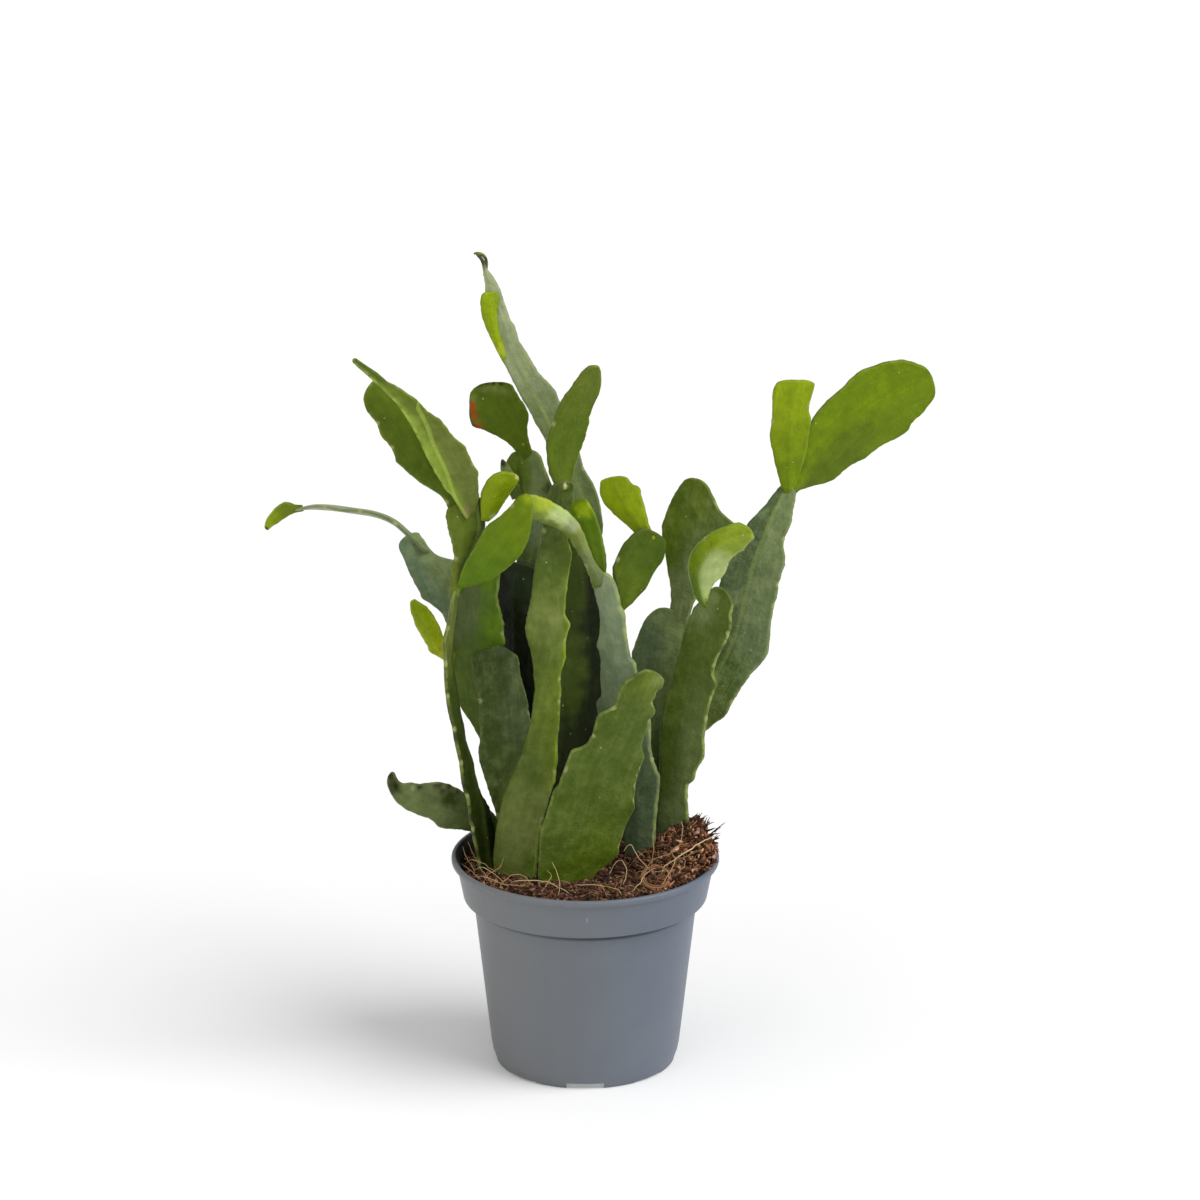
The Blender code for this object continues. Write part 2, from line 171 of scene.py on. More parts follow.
CAMERA_RISE = math.radians(18.1)
CAMERA_AWAY = 2500.0
CAMERA_AIM = Vector((6.6, 0.0, 216.5))
CAMERA_LENS = 169.95
back = Vector((0.0, -math.cos(CAMERA_RISE), math.sin(CAMERA_RISE)))
camera = added("camera", bpy.data.cameras.new("camera"))
camera.data.lens = CAMERA_LENS
camera.location = place(CAMERA_AIM + back * CAMERA_AWAY)
camera.rotation_euler = (-back).to_track_quat("-Z", "Y").to_euler()
bpy.context.scene.camera = camera


def sun(name, azimuth, rise, strength, angle, colour=(1, 1, 1)):
    """A wide distant lamp. Its azimuth is 0 in front of the plant and 90 at its right."""
    lamp = bpy.data.lights.new(name, "SUN")
    lamp.energy, lamp.angle, lamp.color = strength, math.radians(angle), colour
    turn, up = math.radians(azimuth), math.radians(rise)
    towards = Vector((math.sin(turn) * math.cos(up), -math.cos(turn) * math.cos(up), math.sin(up)))
    added(name, lamp).rotation_euler = (-towards).to_track_quat("-Z", "Y").to_euler()


sun("key", azimuth=68, rise=44, strength=2.45, angle=48)
sun("left_fill", azimuth=-60, rise=30, strength=0.6, angle=70, colour=(1.03, 1.0, 0.96))
sun("front_fill", azimuth=-8, rise=38, strength=0.3, angle=60)

walls = bpy.data.worlds.new("white_walls")
walls.use_nodes = True
wall_light = walls.node_tree.nodes["Background"].inputs
wall_light["Color"].default_value = (0.99, 0.995, 1.0, 1.0)
wall_light["Strength"].default_value = 0.46
bpy.context.scene.world = walls
bpy.context.scene.view_settings.view_transform = "Standard"


# Pot: a thin grey nursery pot of moulded polypropylene, with a rolled lip, a collar that steps in to the
# body, and a ring under the floor with deep and shallow notches in its outside.

POT_HEIGHT = 97.0
LIP_RADIUS = 60.0
LIP_DEPTH = 3.2
COLLAR_TOP_RADIUS = 57.4
COLLAR_FOOT_RADIUS = 54.6
STEP_HEIGHT = 77.4
BODY_TOP_RADIUS = 50.2
BASE_RADIUS = 41.6
WALL = 1.3
FLOOR_TOP = 4.4
FLOOR_UNDER = 2.3
RING_INNER_RADIUS = 33.0
POT_SIDES = 180
SHARP_EDGE = 38
NOTCHES = 8
NOTCH_WIDTH = 16.8
NOTCH_HEIGHTS = (2.7, 0.9)
NOTCH_BACK = 38.4
BAR_LENGTH = 8.0
BAR_HEIGHT = 5.0
DRAIN_RADIUS = 3.5
DRAIN_CIRCLE = 26.0
DRILL_LENGTH = 8.0
DRILL_HEIGHT = 3.5


def put(name, mesh, slot, *nodes):
    """A finished mesh as a piece that rides on the pot and stands for these nodes of the frame."""
    piece = added(name, mesh)
    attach(piece, "root")
    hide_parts(*nodes)


def rounded(profile, reach, parts=4):
    """A profile of (radius, height) whose inner corners are short curves that start this far from them."""
    spots = [Vector((radius, 0.0, height)) for radius, height in profile]
    line = [spots[0]]
    for before, corner, after in zip(spots, spots[1:], spots[2:]):
        start = corner + (before - corner) * min(0.42, reach / (before - corner).length)
        end = corner + (after - corner) * min(0.42, reach / (after - corner).length)
        line += interpolate_bezier(start, start.lerp(corner, 0.6), end.lerp(corner, 0.6), end, parts)
    return line + [spots[-1]]


def turned(sheet, line, sides):
    """Adds a line of points turned about the pot's axis to a bmesh, as rings that close on the axis."""
    rings = []
    for spot in line:
        if spot.x < 0.001:
            rings.append([sheet.verts.new(place((0.0, 0.0, spot.z)))])
            continue
        turns = [2.0 * math.pi * side / sides for side in range(sides)]
        rings.append([sheet.verts.new(place((spot.x * math.cos(turn), spot.x * math.sin(turn), spot.z)))
                      for turn in turns])
    for upper, lower in zip(rings, rings[1:]):
        for side in range(sides):
            ahead = (side + 1) % sides
            corners = [upper[side % len(upper)], lower[side % len(lower)],
                       lower[ahead % len(lower)], upper[ahead % len(upper)]]
            sheet.faces.new(list(dict.fromkeys(corners)))
    return rings


pot_line = rounded(
    [
        (0.0, FLOOR_TOP),
        (BASE_RADIUS - WALL - 1.0, FLOOR_TOP),
        (BASE_RADIUS - WALL + 0.3, FLOOR_TOP + 1.3),
        (BODY_TOP_RADIUS - WALL, STEP_HEIGHT + 1.1),
        (COLLAR_FOOT_RADIUS - WALL, STEP_HEIGHT + 1.9),
        (COLLAR_TOP_RADIUS - WALL, POT_HEIGHT - LIP_DEPTH),
        (LIP_RADIUS - 2.2, POT_HEIGHT - 0.4),
        (LIP_RADIUS - 1.5, POT_HEIGHT),
        (LIP_RADIUS - 0.5, POT_HEIGHT - 0.3),
        (LIP_RADIUS, POT_HEIGHT - 1.0),
        (LIP_RADIUS - 0.1, POT_HEIGHT - LIP_DEPTH + 0.6),
        (LIP_RADIUS - 0.9, POT_HEIGHT - LIP_DEPTH),
        (COLLAR_TOP_RADIUS + 0.2, POT_HEIGHT - LIP_DEPTH - 0.5),
        (COLLAR_FOOT_RADIUS, STEP_HEIGHT + 0.6),
        (COLLAR_FOOT_RADIUS - 0.6, STEP_HEIGHT),
        (BODY_TOP_RADIUS, STEP_HEIGHT),
        (BASE_RADIUS + 0.9, 9.0),
        (BASE_RADIUS + 0.2, 5.0),
        (BASE_RADIUS - 0.4, 3.5),
        (BASE_RADIUS - 1.1, 0.6),
        (BASE_RADIUS - 1.7, 0.0),
        (RING_INNER_RADIUS, 0.0),
        (RING_INNER_RADIUS, FLOOR_UNDER),
        (0.0, FLOOR_UNDER),
    ],
    0.5,
)
shell = bmesh.new()
turned(shell, pot_line, POT_SIDES)
bmesh.ops.recalc_face_normals(shell, faces=shell.faces)
pot_mesh = bpy.data.meshes.new("nursery_pot")
shell.to_mesh(pot_mesh)

gouge = bmesh.new()
for number in range(NOTCHES):
    angle = math.radians(360.0 / NOTCHES * number - 90.0)
    outward = Vector((math.cos(angle), math.sin(angle), 0))
    sideways = Vector((-math.sin(angle), math.cos(angle), 0))
    for vert in bmesh.ops.create_cube(gouge, size=1.0)["verts"]:
        x, y, z = vert.co
        spot = outward * (x * BAR_LENGTH + NOTCH_BACK + BAR_LENGTH / 2.0) + sideways * y * NOTCH_WIDTH
        vert.co = place((spot.x, spot.y, z * BAR_HEIGHT + NOTCH_HEIGHTS[number % 2] - BAR_HEIGHT / 2.0))
    drill = bmesh.ops.create_cone(gouge, cap_ends=True, segments=32, radius1=DRAIN_RADIUS * MM,
                                  radius2=DRAIN_RADIUS * MM, depth=DRILL_LENGTH * MM)["verts"]
    bmesh.ops.translate(gouge, verts=drill, vec=place(outward * DRAIN_CIRCLE + Vector((0, 0, DRILL_HEIGHT))))
gouge_mesh = bpy.data.meshes.new("gouge")
gouge.to_mesh(gouge_mesh)
cutter = added("gouge", gouge_mesh)

uncut = added("uncut_pot", pot_mesh)
boolean = uncut.modifiers.new("notches", "BOOLEAN")
boolean.operation, boolean.solver, boolean.object = "DIFFERENCE", "EXACT", cutter
bpy.context.view_layer.update()
pot_mesh = bpy.data.meshes.new_from_object(uncut.evaluated_get(bpy.context.evaluated_depsgraph_get()))
pot_mesh.name = "nursery_pot"
bpy.data.objects.remove(cutter)
bpy.data.objects.remove(uncut)
pot_mesh.shade_smooth()
pot_mesh.set_sharp_from_angle(angle=math.radians(SHARP_EDGE))
put("nursery_pot", pot_mesh, "grey_plastic", "pot")

plastic, start, sockets = material("grey_polypropylene", Specular_IOR_Level=0.42)
spot = start.node("ShaderNodeTexCoord", output="Object")
cloud = spot.noise(22.0, 4.0)
grain = spot.noise(2600.0, 2.0)
x, y, z = spot.split()
height = z * (1.0 / MM)
from_axis = spot.stretched((1.0, 1.0, 0.0)) - tuple(POT_AXIS * MM)
radius = from_axis.node("ShaderNodeVectorMath", {"operation": "LENGTH"}, {0: from_axis}, "Value") * (1.0 / MM)
scratches = spot.stretched((900.0, 900.0, 60.0)).noise(1.0, 2.0).between(0.71, 0.77)
# Painted shadow: a dark band on the body just under the collar's step, weaker at the left.
painted_step_shadow = height.between(74.0, 75.4) * height.between(78.0, 77.3) * (0.5 + x.between(-0.05, 0.01) * 0.5)
lip_share = height.between(93.2, 94.4)
# Painted shade: the inner wall of the collar and lip above the coir is painted dark, where shade falls inside
# the pot, and made rougher.
inner_wall_shade = (radius - height * 0.193).between(39.0, 38.5) * height.between(78.0, 79.0) * (1.0 - lip_share)
inner_wall_shade = inner_wall_shade + radius.between(58.3, 57.7) * lip_share
# Painted light: the back walls of the shallow notches are painted near-white, standing in for the lit floor
# that would show through notches cut right through the ring.
notch_painted_light = height.between(2.9, 2.6) * radius.between(40.0, 39.4)
soil_dust = height.between(84.0, POT_HEIGHT) * spot.noise(240.0, 4.0).between(0.56, 0.74)
scuff_spot = place((0.9, -56.5, 87.0))
off_x, off_z = x - scuff_spot.x, z - scuff_spot.z
scuff = (off_x * off_x * 9.0 + off_z * off_z).between(3.2e-6, 0.8e-6) * y.between(0.0, -0.03)
# Painted shade: the grey runs darker and bluer from the pot's left side to its right one, evening out the key
# lamp at the right, with a painted blue cast on that side.
body = x.between(-0.055, 0.055).mixed(srgb(105, 107, 108), srgb(85, 95, 111))
body = (cloud.between(0.4, 0.65) * 0.25).mixed(body, srgb(108, 114, 120))
body = (soil_dust * 0.2).mixed(body, srgb(92, 76, 62))
body = (scratches * 0.07).mixed(body, srgb(160, 166, 172))
body = (scuff * 0.16).mixed(body, srgb(196, 198, 198))
body = (painted_step_shadow * 0.95).mixed(body, srgb(36, 41, 46))
body = (notch_painted_light * 0.9).mixed(body, srgb(206, 208, 208))
body = (inner_wall_shade * 0.85).mixed(body, srgb(44, 40, 36))
shine = 0.44 + (cloud - 0.5) * 0.16 + scratches * 0.12 + soil_dust * 0.2 + inner_wall_shade * 0.3
drive(start, sockets, Base_Color=body, Roughness=shine,
      Normal=(grain * 0.5 + spot.noise(160.0, 3.0) * 1.2).bump(0.25, 0.0002))
pot_mesh.materials.clear()
pot_mesh.materials.append(plastic)


# Coir bed: chopped coconut husk, packed into the pot to just under the lip at the left and heaped up past it
# at the right. It is one body, and the loose bits of the next sections lie on it.

SOIL_GAP = 0.45
SOIL_LEVEL = 89.0
SOIL_SIDES = 200
SOIL_RING = 1.25
HEAP_PLACE = (49.0, 8.0)
HEAP_HEIGHT = 18.0
HEAP_SPREAD = 15.0
FRONT_RISE = 5.0


def soil_height(x, y):
    """How high the coir stands there: level, with the heap, a rise towards the front and small lumps."""
    away = (x - HEAP_PLACE[0]) ** 2 + (y - HEAP_PLACE[1]) ** 2
    heap = HEAP_HEIGHT * math.exp(-away / (2.0 * HEAP_SPREAD**2))
    front = FRONT_RISE / (1.0 + math.exp((y + 26.0) / 6.0))
    lumps = 1.5 * noise.noise(Vector((x, y, 3.0)) / 7.0) + 0.8 * noise.noise(Vector((x, y, 9.0)) / 2.6)
    return SOIL_LEVEL + heap + front + lumps


bed_radius = COLLAR_FOOT_RADIUS - WALL - SOIL_GAP
top_line = [(step * SOIL_RING, SOIL_LEVEL) for step in range(44)] + [(bed_radius + 1.6, SOIL_LEVEL)]
side_line = [(bed_radius, STEP_HEIGHT + 2.6), (BODY_TOP_RADIUS - WALL - SOIL_GAP, STEP_HEIGHT + 1.8),
             (BASE_RADIUS - WALL - 0.3, FLOOR_TOP + 1.8), (BASE_RADIUS - WALL - 1.5, FLOOR_TOP + SOIL_GAP),
             (0.0, FLOOR_TOP + SOIL_GAP)]
bed = bmesh.new()
bed_line = [Vector((radius, 0.0, height)) for radius, height in top_line + side_line]
bed_rings = turned(bed, bed_line, SOIL_SIDES)
for ring in bed_rings[:len(top_line)]:
    for vert in ring:
        x, y, _ = vert.co / MM - POT_AXIS
        vert.co.z = soil_height(x, y) * MM
bmesh.ops.recalc_face_normals(bed, faces=bed.faces)
bed_mesh = bpy.data.meshes.new("coir_bed")
bed.to_mesh(bed_mesh)
bed_mesh.shade_smooth()
put("coir_bed", bed_mesh, "coir", "potting_mix")

husk, start, sockets = material("coir_dust", Roughness=0.95, Specular_IOR_Level=0.2)
spot = start.node("ShaderNodeTexCoord", output="Object")
crumb = spot.noise(900.0, 6.0, 0.65)
pits = spot.cells(520.0)
dust = crumb.between(0.3, 0.7).mixed(srgb(34, 22, 14), srgb(104, 66, 44))
drive(start, sockets, Base_Color=pits.between(0.0, 0.9).mixed(dust, srgb(44, 28, 18)),
      Normal=(crumb + pits * 0.6).bump(0.9, 0.0016))
bed_mesh.materials.append(husk)


# Coir chips: short flat splinters of red-brown husk, cut by a mill. They lie loose on the bed, deeper and
# paler on the heap, spill on to the lip at the right and end there in a few ragged dark ends.

CHIPS = 2900
SPILLED_CHIPS = 240

draw = random.Random(7)


class Pile:
    """Loose bits gathered into one mesh, each with its own colour."""

    def __init__(self):
        self.verts, self.faces, self.tints = [], [], []

    def tube(self, spots, radii, tint, sides=5, squash=1.0):
        """A closed bit that runs through the spots. radii are its half widths there."""
        across = Vector((draw.uniform(-1, 1), draw.uniform(-1, 1), draw.uniform(-1, 1)))
        first = len(self.verts)
        for number, (spot, radius) in enumerate(zip(spots, radii)):
            along = spots[min(number + 1, len(spots) - 1)] - spots[max(number - 1, 0)]
            across = (across - along * (across.dot(along) / along.length_squared)).normalized()
            side = along.normalized().cross(across)
            for corner in range(sides):
                angle = 2.0 * math.pi * corner / sides
                outward = across * math.cos(angle) + side * math.sin(angle) * squash
                self.verts.append(spot + outward * radius)
        for ring in range(len(spots) - 1):
            for corner in range(sides):
                low, high = first + ring * sides, first + (ring + 1) * sides
                ahead = (corner + 1) % sides
                self.faces.append((low + corner, low + ahead, high + ahead, high + corner))
        self.faces.append(tuple(range(first + sides - 1, first - 1, -1)))
        last = first + (len(spots) - 1) * sides
        self.faces.append(tuple(range(last, last + sides)))
        self.tints += [tint] * (len(spots) * sides)

    def mesh(self, name):
        made = bpy.data.meshes.new(name)
        made.from_pydata([place(vert) for vert in self.verts], [], self.faces)
        tint = made.attributes.new("tint", "FLOAT_COLOR", "POINT")
        tint.data.foreach_set("color", [value for colour in self.tints for value in colour])
        made.shade_smooth()
        return made


def dimmed(colour, amount):
    """The colour with its light multiplied by the amount."""
    return (*[value * amount for value in colour[:3]], 1.0)


HUSKS = [srgb(134, 88, 60), srgb(112, 68, 44), srgb(152, 98, 68), srgb(92, 56, 36), srgb(64, 40, 26),
         srgb(168, 120, 86), srgb(46, 30, 20), srgb(186, 144, 114), srgb(40, 26, 18)]


def somewhere(reach):
    """A random spot on the potting mix, at most this far from the pot's axis."""
    while True:
        x, y = draw.uniform(-reach, reach), draw.uniform(-reach, reach)
        if math.hypot(x, y) < reach:
            return x, y


def bent(centre, tilt, length, bow, parts):
    """Spots along a bowed bit that lies at the centre, tilts up and heads any way."""
    heading = draw.uniform(0, 2 * math.pi)
    tilt = draw.gauss(0.0, tilt)
    bow = draw.uniform(-bow, bow) * length if bow else 0.0
    along = Vector((math.cos(heading) * math.cos(tilt), math.sin(heading) * math.cos(tilt), math.sin(tilt)))
    aside = Vector((-math.sin(heading), math.cos(heading), draw.uniform(-0.6, 0.6))).normalized()
    shares = [part / (parts - 1) - 0.5 for part in range(parts)]
    return [centre + along * length * share + aside * bow * (0.25 - share * share) * 4.0 for share in shares]


def husk_tint(x, y):
    """A husk colour, brighter on the heap and at the left than in the middle. The brightening at the left is
    painted light on coir that lies in shade there.
    """
    light = 0.6 + 1.0 / (1.0 + math.exp(-(x - 34.0) / 5.0)) + 0.8 / (1.0 + math.exp((x + 36.0) / 4.0))
    return dimmed(draw.choice(HUSKS), light * draw.uniform(0.4, 1.35))


chips = Pile()
for number in range(CHIPS):
    x, y = somewhere(54.5)
    length = min(draw.lognormvariate(1.25 if x > 30 else 1.1, 0.5), 9.0)
    wide = draw.uniform(0.35, 1.1) * (0.7 + length / 14.0)
    raised = draw.uniform(-0.1, 1.4) + (draw.uniform(0.0, 2.4) if x > 34 else 0.0)
    if math.hypot(x, y) + length * 0.45 > 56.0:
        continue
    spots = bent(Vector((x, y, soil_height(x, y) + raised)), 0.55, length, 0.3, 5)
    radii = [wide * share * draw.uniform(0.7, 1.25) for share in (0.3, 0.9, 1.0, 0.8, 0.25)]
    chips.tube(spots, radii, husk_tint(x, y), 5, draw.uniform(0.35, 0.85))

for number in range(SPILLED_CHIPS):
    angle, radius = math.radians(draw.gauss(12.0, 15.0)), draw.uniform(53.0, 59.4)
    x, y = radius * math.cos(angle), radius * math.sin(angle)
    length = draw.uniform(1.2, 4.5)
    raised = draw.uniform(0.2, 1.0) + 9.0 * max(0.0, draw.uniform(0.0, 1.0) * (59.0 - radius) / 6.0)
    spots = bent(Vector((x, y, POT_HEIGHT + raised)), 0.5, length, 0.3, 5)
    radii = [draw.uniform(0.4, 1.1) * share for share in (0.4, 0.9, 1.0, 0.8, 0.3)]
    chips.tube(spots, radii, husk_tint(x, y), 5, 0.7)

# Ragged dark husk ends that stick up from the heap and over the rim. Each splits into three.
for root, head, wide in (((46, 6, 104), (49, 5, 112.5), 1.4), ((49, 4, 105), (53, 4, 113), 1.1),
                         ((51, 5, 104), (56, 3, 111.5), 1.2), ((52, 0, 103), (58, -1, 107), 1.3),
                         ((53, -3, 102), (60, -3, 105.5), 1.0), ((50, 8, 105), (51, 9, 112), 1.2),
                         ((47, 12, 104), (50, 15, 109), 1.3), ((52, 3, 105), (57.5, 1, 108.5), 1.0),
                         ((44, 5, 106), (45, 4, 111), 1.2), ((54, 2, 103), (60.5, 4, 108), 0.8)):
    root, head = Vector(root), Vector(head)
    lean = Vector((draw.uniform(-1, 1), draw.uniform(-1, 1), draw.uniform(0, 1)))
    spots = [root.lerp(head, share) + lean * math.sin(share * math.pi) * 0.9
             for share in (0, 0.3, 0.6, 0.85, 1)]
    chips.tube(spots, [wide, wide * 0.9, wide * 0.6, wide * 0.5, 0.15],
               dimmed(draw.choice(HUSKS[3:5]), draw.uniform(0.6, 1.1)), 5, 0.6)
    fork = root.lerp(head, 0.6)
    for start in (spots[2], fork, fork):
        tip = head + Vector((draw.uniform(-2.5, 2.5), draw.uniform(-2, 2), draw.uniform(-1, 2)))
        chips.tube([start, start.lerp(tip, 0.5) + Vector((0, 0, 0.5)), tip], [0.35, 0.25, 0.1],
                   dimmed(HUSKS[4], 0.8), 4)

coir, start, sockets = material("coir_husk", Roughness=0.85, Specular_IOR_Level=0.3)
own = start.attribute("tint", "Color")
streak = start.node("ShaderNodeTexCoord", output="Object").noise(1500.0, 4.0, 0.7)
drive(start, sockets, Base_Color=streak.between(0.35, 0.75).mixed(own, srgb(70, 42, 28)),
      Normal=streak.bump(0.7, 0.0006))
chips_mesh = chips.mesh("coir_chips")
chips_mesh.materials.append(coir)
put("coir_chips", chips_mesh, "coir", "potting_mix")


# Coir crumbs: the mill's smallest bits of husk, 1 to 2 mm across. They lie loose between the chips and
# cover the bed.

CRUMBS = 3600

crumbs = Pile()
for number in range(CRUMBS):
    x, y = somewhere(55.0)
    size = draw.uniform(0.3, 0.95)
    raised = draw.uniform(0.0, 1.8) + (draw.uniform(0.0, 1.8) if x > 34 else 0.0)
    spots = bent(Vector((x, y, soil_height(x, y) + raised)), 0.6, size * 2.2, 0.0, 4)
    crumbs.tube(spots, [size * share * draw.uniform(0.8, 1.2) for share in (0.45, 1.0, 0.9, 0.4)],
                husk_tint(x, y), 5, draw.uniform(0.6, 1.0))
crumbs_mesh = crumbs.mesh("coir_crumbs")
crumbs_mesh.materials.append(coir)
put("coir_crumbs", crumbs_mesh, "coir", "potting_mix")


# Coir fibres: pale hairs and straws of the husk, round and springy. They lie loose over the chips and curl
# up from them, and a few long straws lie against the feet of the shoots and the rim.

FIBRES = 950
FIBRE_SPOTS = 9
STRAWS = [srgb(196, 164, 112), srgb(176, 140, 88), srgb(152, 112, 70), srgb(206, 182, 134)]

fibre_pile = Pile()
# The bends of the straws come from noise_vector, which takes the clock for its seed if it isn't given one.
noise.seed_set(7)


def wandering(spot, heading, rise, length, curl):
    """A fibre's spots: it leaves the spot this way and turns at random as it goes."""
    line, step = [spot], length / (FIBRE_SPOTS - 1)
    for part in range(FIBRE_SPOTS - 1):
        heading += draw.gauss(curl, 0.35)
        rise += draw.gauss(-0.05, 0.22)
        spot = spot + Vector((math.cos(heading) * math.cos(rise), math.sin(heading) * math.cos(rise),
                              math.sin(rise))) * step
        over_bed = math.hypot(spot.x, spot.y) < 55
        ground = soil_height(spot.x, spot.y) + 0.6 if over_bed else POT_HEIGHT + 1.2
        if spot.z < ground:
            spot.z, rise = ground, abs(rise) * 0.4
        line.append(spot.copy())
    return line


for number in range(FIBRES):
    x, y = somewhere(52.0)
    if number % 3 == 0:
        x, y = draw.gauss(42.0, 7.0), draw.gauss(-4.0, 16.0)
    length = min(draw.lognormvariate(2.1, 0.4), 22.0)
    line = wandering(Vector((x, y, soil_height(x, y) + draw.uniform(0.2, 1.6))), draw.uniform(0, 2 * math.pi),
                     draw.uniform(0.0, 0.7), length, draw.gauss(0.0, 0.28))
    if any(math.hypot(spot.x, spot.y) > 55.0 or spot.z > soil_height(spot.x, spot.y) + 5.0 for spot in line):
        continue
    thick = draw.uniform(0.08, 0.2) * (1.5 if x > 32 else 1.0)
    tint = dimmed(draw.choice(STRAWS if draw.random() < 0.45 else HUSKS[:3]), draw.uniform(0.75, 1.1))
    radii = [thick * (1.0 - 0.6 * part / (FIBRE_SPOTS - 1)) for part in range(FIBRE_SPOTS)]
    fibre_pile.tube(line, radii, tint, 4)


def flowing(knots, parts=6):
    """A smooth line through the knots."""
    knots = [Vector(knot) for knot in knots]
    knots = [2 * knots[0] - knots[1], *knots, 2 * knots[-1] - knots[-2]]
    line = []
    for before, start, end, after in zip(knots, knots[1:], knots[2:], knots[3:]):
        leave, arrive = start + (end - before) / 6.0, end - (after - start) / 6.0
        line += interpolate_bezier(start, leave, arrive, end, parts + 1)[:-1]
    return line + [knots[-2]]


# The longer straws that show in front of the feet, at both sides of them and against the rim.
for knots, thick, tint in (
    (((-37, -27, 93), (-33, -32, 95.5), (-28, -34, 97), (-20, -35, 97.4), (-14, -38, 97), (-6, -46, 95)),
     0.34, 3),
    (((-6, -37, 94), (-4, -38, 96.4), (1, -39, 97), (7, -40, 97), (14, -43, 96.4), (17, -48, 94)), 0.30, 0),
    (((34, -29, 99), (36, -27, 101.5), (44, -25, 106.5), (51, -18, 109), (58, -10, 109.5)), 0.38, 3),
    (((43, -3, 113.5), (43.6, -3, 110), (43, -2.5, 106), (43.5, -2, 99)), 0.26, 3),
    (((31, -9, 113), (30, -9, 108), (30.4, -9, 103), (29.6, -9, 95)), 0.22, 0),
    (((17, -15, 104), (20, -15, 107), (22.4, -15, 103), (25, -15, 99), (29, -16, 95)), 0.26, 3),
    (((-53, 12, 98), (-50, 2, 96), (-47, -10, 94.4), (-43, -26, 95), (-41, -32, 94)), 0.24, 0),
    (((10, -21, 94), (12.6, -20, 99), (16, -21, 101.4), (18.5, -27, 99), (17, -34, 95)), 0.24, 3),
    (((-58, 5, 91), (-54, -5, 93), (-49, -18, 94), (-47, -26, 94.6)), 0.22, 0),
    (((-44, -28, 95), (-40, -35, 97), (-33, -40, 97.3), (-27, -38, 96), (-24, -34, 95)), 0.22, 1),
    (((20, -44, 95), (24, -40, 98), (27, -33, 100), (33, -26, 101)), 0.24, 3),
    (((-20, -44, 94), (-17, -39, 97), (-15, -33, 99), (-17, -28, 100)), 0.20, 0),
    (((-12, -45, 94), (-11, -40, 97), (-12.5, -33, 101), (-15, -28, 104)), 0.20, 3),
    (((24, -30, 97), (30, -24, 103), (37, -18, 103.5), (41, -14, 106), (46, -13, 107)), 0.20, 1),
    (((34, -40, 97), (38, -33, 102), (40, -28, 105), (38, -22, 106)), 0.22, 0),
    (((-55, 8, 97), (-54, 0, 97), (-51, -8, 95), (-49, -16, 94)), 0.20, 3),
    (((-54, -3, 93), (-51, -8, 97), (-46, -12, 97), (-40, -18, 95)), 0.22, 0),
    (((-50, -14, 94), (-46, -20, 98), (-41, -24, 97), (-36, -31, 95)), 0.24, 3),
    (((-46, -30, 94), (-42, -27, 98), (-38, -25, 100), (-36, -22, 103)), 0.20, 1),
    (((-51, -20, 93), (-45, -26, 96), (-40, -34, 97), (-34, -38, 96)), 0.22, 3),
    (((-38, -36, 94), (-34, -32, 98), (-28, -32, 99), (-23, -37, 96)), 0.20, 0),
):
    line = [spot + 0.5 * noise.noise_vector(spot / 3.0) for spot in flowing(knots)]
    radii = [0.8 * thick * (1.0 - 0.35 * abs(2.0 * part / len(line) - 1.0)) for part in range(len(line))]
    fibre_pile.tube(line, radii, STRAWS[tint], 6)

# A curled strand of husk that lies as a ring at the right of the front blade.
for turn_radius, lift, thick in ((6.2, 0.0, 0.42), (5.6, 0.7, 0.28), (6.6, -0.5, 0.24)):
    knots = [(31.5 + turn_radius * math.cos(turn), -35.0 + turn_radius * 0.62 * math.sin(turn),
              99.0 + lift + 3.6 * math.sin(turn)) for turn in [0.3 + lift + step * 0.7 for step in range(9)]]
    strand = flowing(knots, 4)
    fibre_pile.tube(strand, [thick] * len(strand), STRAWS[2] if lift < 0.5 else HUSKS[2], 6)

fibre_mesh = fibre_pile.mesh("coir_fibres")
fibre, start, sockets = material("coir_fibre", Roughness=0.6, Specular_IOR_Level=0.35)
own = start.attribute("tint", "Color")
streak = start.node("ShaderNodeTexCoord", output="Object").noise(700.0, 2.0)
drive(start, sockets, Base_Color=(streak * 0.3).mixed(own, srgb(120, 84, 50)))
fibre_mesh.materials.append(fibre)
put("coir_fibres", fibre_mesh, "coir", "potting_mix")


# Shoots: flat fleshy cactus blades, each on a narrow joint. Their edges are scalloped, with a small woolly
# bud in each notch. Old blades are dark and waxy with a pale bloom, and young ones thin and yellow-green.

AREOLE_PITCH = 17.0
SCALLOP = 1.6
OLD_THICKNESS = 4.2
OLD_EDGE = 1.8
YOUNG_THICKNESS = 3.0
YOUNG_EDGE = 1.4
ROW = 0.9
END_ROWS = (2.2, 1.6, 1.1, 0.7, 0.35, 0.12, 0.02)
RING = 32
CORNER_STEPS = (-1.25, -0.75, -0.25, 0.25, 0.75, 1.25)
LONG_PATCH = 5.0
FAR = 9.0

deep = srgb(38, 50, 16)
shade = srgb(62, 76, 32)
